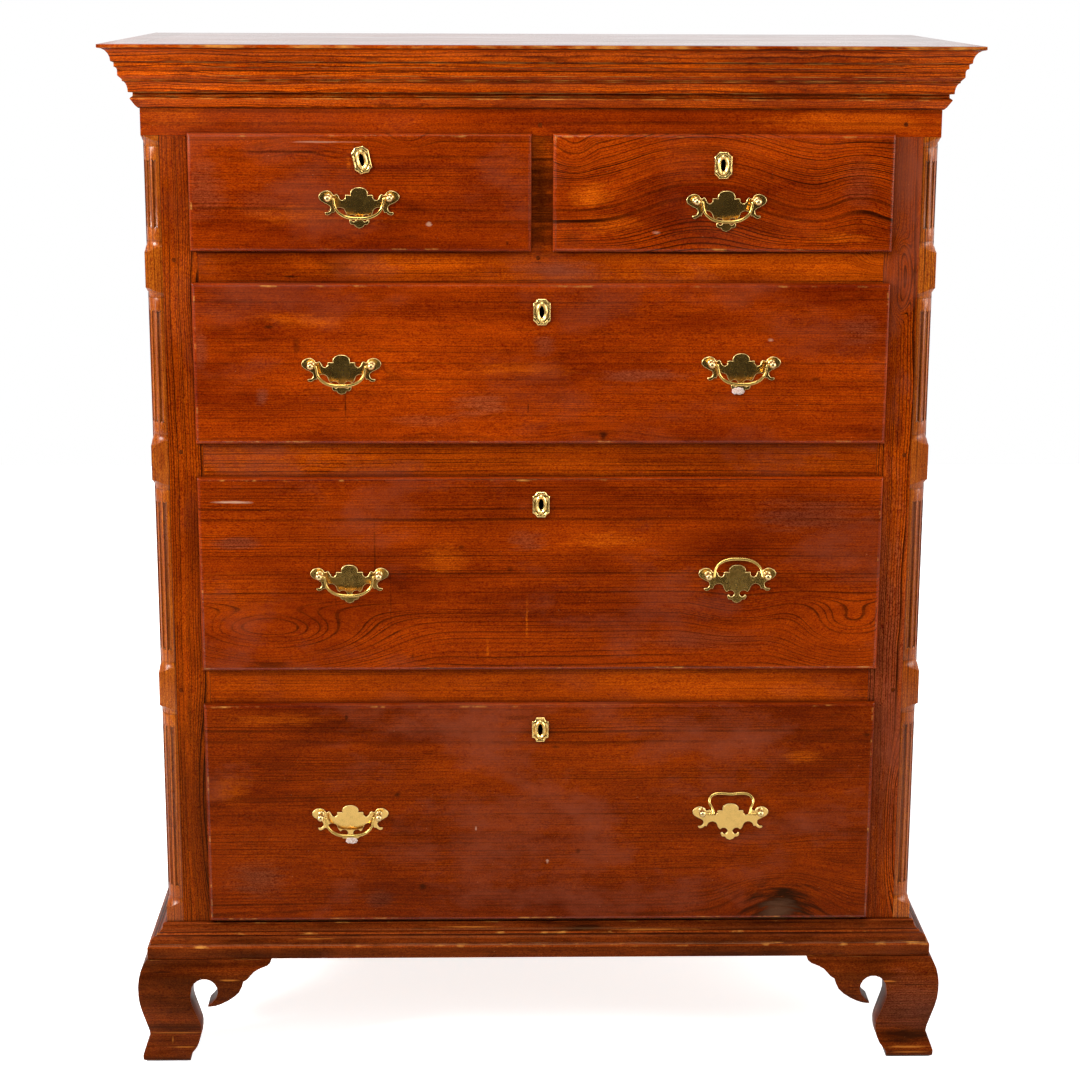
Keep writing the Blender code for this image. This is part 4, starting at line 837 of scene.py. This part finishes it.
class CHEST_OT_drawer_fronts(bpy.types.Operator):
    """Five lipped drawer fronts, each from its own board"""
    bl_idname = "chest.drawer_fronts"
    bl_label = "Drawer fronts"

    def execute(self, context):
        look = wood()
        tints = (look.drawer_light, look.drawer_dark, look.drawer_line)
        for name, facts in DRAWER_BOARDS.items():
            body = pine(f"stained_pine_{name}", *tints, corner_shade=0.45, marks=MARKS[name],
                        **{"dashes": 0.25, **facts})
            edge = pine(f"rubbed_pine_{name}", *tints, rub=0.13,
                        **{**facts, "bloom_and_sheen": 0.3, "gloss": 0.4, "shine": 0.24})
            node = f"{name}_front"
            piece = from_solid(f"{name}_lipped_front", node, FINE_ARRIS, shape=self.round_lip)
            settle(piece, name, "drawer_pine", body, edge, replaces=(node,))
        return {"FINISHED"}

    def round_lip(self, obj):
        """The edge of the lip is rounded, and the field stands a hair proud of it, as the plane left it."""
        look = wood()
        corners = [vert.co for vert in obj.data.vertices]
        low = Vector([min(c[i] for c in corners) for i in range(3)])
        high = Vector([max(c[i] for c in corners) for i in range(3)])

        def inward(point):
            return min(point.x - low.x, high.x - point.x, point.z - low.z, high.z - point.z)

        edit(obj)
        pick(obj, "FACE", lambda face: all(vert.co.y < low.y + NEAR for vert in face.verts))
        bpy.ops.mesh.inset(thickness=look.quirk, depth=0)
        bpy.ops.mesh.inset(thickness=STEP_SLOPE, depth=0)
        for vert in bmesh.from_edit_mesh(obj.data).verts:
            if vert.co.y < low.y + NEAR and inward(vert.co) < look.quirk + NEAR:
                vert.co.y += look.step
        pick(obj, "EDGE", lambda edge: all(inward(vert.co) < NEAR and vert.co.y < low.y + look.step + NEAR
                                           for vert in edge.verts))
        bpy.ops.mesh.bevel(offset=look.lip_round, segments=4, affect="EDGES")
        for face in bmesh.from_edit_mesh(obj.data).faces:
            middle = face.calc_center_median()
            if middle.y < low.y + look.step + 4 * NEAR and NEAR < inward(middle) and face.normal.y > -0.97:
                face.material_index = 1
        bmesh.update_edit_mesh(obj.data)
        leave_edit()


class CHEST_OT_drawer_insides(bpy.types.Operator):
    """Bare pine drawer boxes and bottoms, and iron locks"""
    bl_idname = "chest.drawer_insides"
    bl_label = "Drawer insides"

    def execute(self, context):
        bare = (wood().bare, linear("#B08050"), linear("#8A5A30"))
        sides = pine("bare_pine_drawer_boxes", *bare, grain="Y", centre=(0, 0.3, 0.5), lines=0.5,
                     shine=0.62, seed=31, ring=0.005)
        bottoms = pine("bare_pine_drawer_bottoms", *bare, centre=(0, 0.1, 0), lines=0.5,
                       shine=0.65, seed=33, ring=0.006)
        iron = forged_iron()
        for name in DRAWER_BOARDS:
            paint(f"{name}_box", sides)
            paint(f"{name}_bottom", bottoms)
            paint(f"{name}_lock", iron)
        return {"FINISHED"}


class CHEST_OT_pull_plates(bpy.types.Operator):
    """Eight pierced-outline brass plates, each with two ball-headed posts"""
    bl_idname = "chest.pull_plates"
    bl_label = "Pull plates"

    def outline(self):
        half = []
        for stretch in PLATE_EDGE:
            half += smooth(stretch)[:-1]
        half.append(PLATE_EDGE[-1][-1])
        return [(a * MM, b * MM) for a, b in half + [(-a, b) for a, b in reversed(half[1:-1])]]

    def plate(self):
        """The sawn sheet, with a filed slope all round its face."""
        look = brass()
        back = [(a, 0, b) for a, b in self.outline()]
        face = [(a, look.slope - PLATE_THICK, b) for a, out, b in back]
        obj = drawn_out("plate", [back, face], degrees=20)
        edit(obj)
        pick(obj, "FACE", lambda face: face.normal.y < -0.9)
        bpy.ops.mesh.inset(thickness=look.border, depth=look.slope)
        field = {face.index for face in bmesh.from_edit_mesh(obj.data).faces if face.select}
        leave_edit()
        for _ in range(2):
            obj.data.materials.append(None)
        for face in obj.data.polygons:
            face.material_index = 0 if face.index in field else 1
        return shade(obj, 20)

    def post(self):
        """A cast post: round foot, waisted stem and a ball that the bail turns in."""
        profile = [(0.0044, 0), (0.0046, 0.0007), (0.0042, 0.0014), (0.0031, 0.0019), (0.0027, 0.004),
                   (0.0026, 0.0085), (0.0029, 0.0112)]
        profile += [(BALL * math.sin(math.radians(a)), BALL_OUT - BALL * math.cos(math.radians(a)))
                    for a in (50, 65, 80, 95, 110, 125, 140, 155, 168)]
        return drawn_out("post", turned(profile, 24), degrees=50)

    def execute(self, context):
        plate = self.plate()
        post = self.post()
        old = cast_brass("old_polished_brass", 0.19, film=0.7, base=linear("#DDAE58"))
        pale = cast_brass("clean_polished_brass", 0.11, film=0.1, base=linear("#E6BC6A"))
        filed = cast_brass("filed_brass_edges", 0.38, film=0.25, base=linear("#DDBE78"))
        heads = cast_brass("cast_brass_heads", 0.26, film=0.25)
        for label in PULLS:
            node = f"{label}_pull_plate"
            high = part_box(node)[1]
            pivot = hinge_line(label)
            drawer = label[:len("drawer_1")]
            made = twin(plate, f"{label}_brass_plate", (pivot.x, high.y, high.z - PLATE_EDGE[0][0][1] * MM))
            settle(made, drawer, "brass", pale if drawer == "drawer_5" else old, filed, replaces=(node,))
            for side, sign in (("left", -1), ("right", 1)):
                made = twin(post, f"{label}_post_{side}",
                            (pivot.x + sign * POST_SPACING, pivot.y + BALL_OUT, pivot.z))
                settle(made, drawer, "brass", heads)
        bpy.data.objects.remove(plate)
        bpy.data.objects.remove(post)
        return {"FINISHED"}


class CHEST_OT_bails(bpy.types.Operator):
    """Eight swinging brass bails, seven plain and one swan-necked with beads"""
    bl_idname = "chest.bails"
    bl_label = "Bails"

    def rod(self, name, end, path, swell):
        """A drawn rod that swells toward the grip: a mirrored curve with a bevel, turned into a mesh."""
        lowest = path[-1][1]
        half = [*end, *((a, b, ROD + swell * (b / lowest) ** 2) for a, b in path[1:])]
        points = smooth(half + [(-a, b, r) for a, b, r in reversed(half[:-1])], 4)
        fresh()
        bpy.ops.curve.primitive_nurbs_path_add()
        curve = bpy.context.object.data
        bpy.context.object.name = name
        curve.splines.clear()
        spline = curve.splines.new("POLY")
        spline.points.add(len(points) - 1)
        for point, (a, b, r) in zip(spline.points, points):
            point.co = (a * MM, 0, b * MM, 1)
            point.radius = r
        curve.dimensions = "3D"
        curve.bevel_depth = MM
        curve.bevel_resolution = 5
        curve.use_fill_caps = True
        choose(bpy.context.object)
        bpy.ops.object.convert(target="MESH")
        obj = bpy.context.object
        edit(obj)
        close_up()
        return shade(obj, 50)

    def execute(self, context):
        plain = self.rod("plain_bail", PLAIN_END, BAIL_PLAIN, 0.6)
        swan = self.rod("swan_bail", SWAN_END, BAIL_SWAN, 0.4)
        metal = cast_brass("worn_brass_bails", 0.2, film=0.45, base=linear("#E2BC66"))
        for label in PULLS:
            rod, path = (swan, BAIL_SWAN) if label == "drawer_5_right" else (plain, BAIL_PLAIN)
            lean = math.asin((BALL_OUT + PLATE_THICK - REST_GAP) / (-path[-1][1] * MM))
            turn = -math.pi - lean if label in ("drawer_4_right", "drawer_5_right") else 0
            made = twin(rod, f"{label}_brass_bail", hinge_line(label), turn)
            settle(made, f"{label}_bail_body", "brass", metal, replaces=(f"{label}_bail",))
        bpy.data.objects.remove(plain)
        bpy.data.objects.remove(swan)
        return {"FINISHED"}


class CHEST_OT_escutcheons(bpy.types.Operator):
    """Five cast keyhole plates with a raised rim"""
    bl_idname = "chest.escutcheons"
    bl_label = "Escutcheons"

    def outline(self, corner, scale, dip):
        """Sixty-four points round a rectangle whose corners are cut off, a little hollow."""
        w, h, c = SCUTCHEON_WIDE / 2 * scale, SCUTCHEON_TALL / 2 * scale, corner * scale
        corners = [(w - c, h), (w, h - c), (w, -h + c), (w - c, -h), (-w + c, -h), (-w, -h + c), (-w, h - c),
                   (-w + c, h)]
        points = []
        for i, (a, b) in enumerate(corners):
            e, f = corners[(i + 1) % 8]
            for k in range(8):
                t = k / 8
                pull = 1 - dip * math.sin(math.pi * t) if i % 2 == 0 else 1
                points.append(((a + (e - a) * t) * pull, (b + (f - b) * t) * pull))
        return points

    def oval(self, width, height, points):
        """The points drawn in to an oval, each in its own direction."""
        turns = [math.atan2(x / width, z / height) for x, z in points]
        return [(width / 2 * math.sin(a), height / 2 * math.cos(a)) for a in turns]

    def ring(self, name, dip):
        """From the foot up over the moulded rim, down its hollow and up to the lip round the keyhole."""
        rings = [(self.outline(corner, scale, dip * share), out)
                 for corner, scale, share, out in SCUTCHEON_RIM]
        outer = rings[0][0]
        rings += [(self.oval(width, height, outer), out) for width, height, out in SCUTCHEON_LIP]
        rings.append((outer, 0))
        rings = [[(a * MM, -out * MM, b * MM) for a, b in loop] for loop, out in rings]
        return drawn_out(name, rings, degrees=40, hollow=True)

    def execute(self, context):
        metal = cast_brass("cast_brass_escutcheons", 0.2, film=0.45, base=linear("#F0C878"), seed=4)
        for name, dip, tilt in (("drawer_1", 0.03, -12), ("drawer_2", 0.03, 0), ("drawer_3", 0.04, 0),
                                ("drawer_4", 0.05, 0), ("drawer_5", 0.12, 0)):
            node = f"{name}_escutcheon"
            low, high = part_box(node)
            ring = self.ring(f"{name}_keyhole_plate", dip)
            middle = Vector(((low.x + high.x) / 2, high.y, (low.z + high.z) / 2))
            ring.data.transform(Matrix.Translation(middle) @ Matrix.Rotation(math.radians(tilt), 4, "Y"))
            settle(ring, name, "brass", metal, replaces=(node,))
        return {"FINISHED"}


class CHEST_OT_pegs_and_polish(bpy.types.Operator):
    """Wooden pegs in the joints, and dried polish under two of the brasses"""
    bl_idname = "chest.pegs_and_polish"
    bl_label = "Pegs and dried polish"

    def crust(self, name, width):
        """A flat crumb with a wavy outline, thinner to its edge."""
        loop = []
        for i in range(CRUST_POINTS):
            c, s = math.cos(math.tau * i / CRUST_POINTS), math.sin(math.tau * i / CRUST_POINTS)
            loop.append((math.copysign(abs(c) ** 0.6, c) * (1 + 0.1 * math.sin(3.3 * i + 1)),
                         math.copysign(abs(s) ** 0.6, s) * (0.62 + 0.08 * math.sin(2.1 * i))))
        rings = [[(width * r * a, -out, width * r * b) for a, b in loop]
                 for r, out in ((1, -0.0003), (0.94, 0.0014), (0.75, 0.0022), (0.35, 0.0025))]
        return drawn_out(name, rings, degrees=60)

    def execute(self, context):
        look = wood()
        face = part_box("rail_1")[0].y
        profile = ((0.0026, -0.0005), (0.0026, 0.0002), (0.0022, 0.0004), (0.0012, 0.0005))
        peg = drawn_out("peg", turned(profile, 18, squash=1.12), degrees=40)
        end = pine("pine_peg_ends", look.foot_light, look.foot_dark, look.case_line, grain="Y", ring=0.0012,
                   corner_shade=0.6)
        for i, (x, z) in enumerate(PEGS):
            settle(twin(peg, f"peg_{i + 1}", (x, face, z)), "case", "stained_pine", end)
        bpy.data.objects.remove(peg)
        chalk = chalky_residue()
        for name, x, z, drawer, width in (("polish_crust_1", 0.251, 0.912, "drawer_3", 0.0078),
                                          ("polish_crust_2", -0.2505, 0.3068, "drawer_5", 0.0074)):
            crust = self.crust(name, width)
            crust.data.transform(Matrix.Translation((x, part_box(f"{drawer}_left_pull_plate")[1].y, z)))
            settle(crust, drawer, "drawer_pine", chalk)
        return {"FINISHED"}


OPERATORS = (CHEST_OT_stage, CHEST_OT_case_boards, CHEST_OT_mouldings, CHEST_OT_corner_columns, CHEST_OT_feet,
             CHEST_OT_drawer_fronts, CHEST_OT_drawer_insides, CHEST_OT_pull_plates, CHEST_OT_bails,
             CHEST_OT_escutcheons, CHEST_OT_pegs_and_polish)


class CHEST_PT_panel(bpy.types.Panel):
    """The chest's sizes, colours and pieces"""
    bl_idname = "CHEST_PT_panel"
    bl_label = "Pine Chest of Drawers"
    bl_space_type = "VIEW_3D"
    bl_region_type = "UI"
    bl_category = "Chest"

    def draw(self, context):
        for settings in (context.scene.chest_wood, context.scene.chest_brass, context.scene.chest_stage):
            column = self.layout.column(align=True)
            for name in type(settings).__annotations__:
                column.prop(settings, name)
        for operator in OPERATORS:
            self.layout.operator(operator.bl_idname)


SETTINGS = {"chest_wood": ChestWood, "chest_brass": ChestBrass, "chest_stage": ChestStage}
CLASSES = (*SETTINGS.values(), *OPERATORS, CHEST_PT_panel)


def register():
    for each in CLASSES:
        bpy.utils.register_class(each)
    for name, settings in SETTINGS.items():
        setattr(bpy.types.Scene, name, PointerProperty(type=settings))


def unregister():
    for name in SETTINGS:
        delattr(bpy.types.Scene, name)
    for each in reversed(CLASSES):
        bpy.utils.unregister_class(each)


def main():
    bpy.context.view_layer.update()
    register()
    bpy.ops.chest.stage()
    bpy.ops.chest.case_boards()
    bpy.ops.chest.mouldings()
    bpy.ops.chest.corner_columns()
    bpy.ops.chest.feet()
    bpy.ops.chest.drawer_fronts()
    bpy.ops.chest.drawer_insides()
    bpy.ops.chest.pull_plates()
    bpy.ops.chest.bails()
    bpy.ops.chest.escutcheons()
    bpy.ops.chest.pegs_and_polish()


if __name__ == "__main__":
    main()
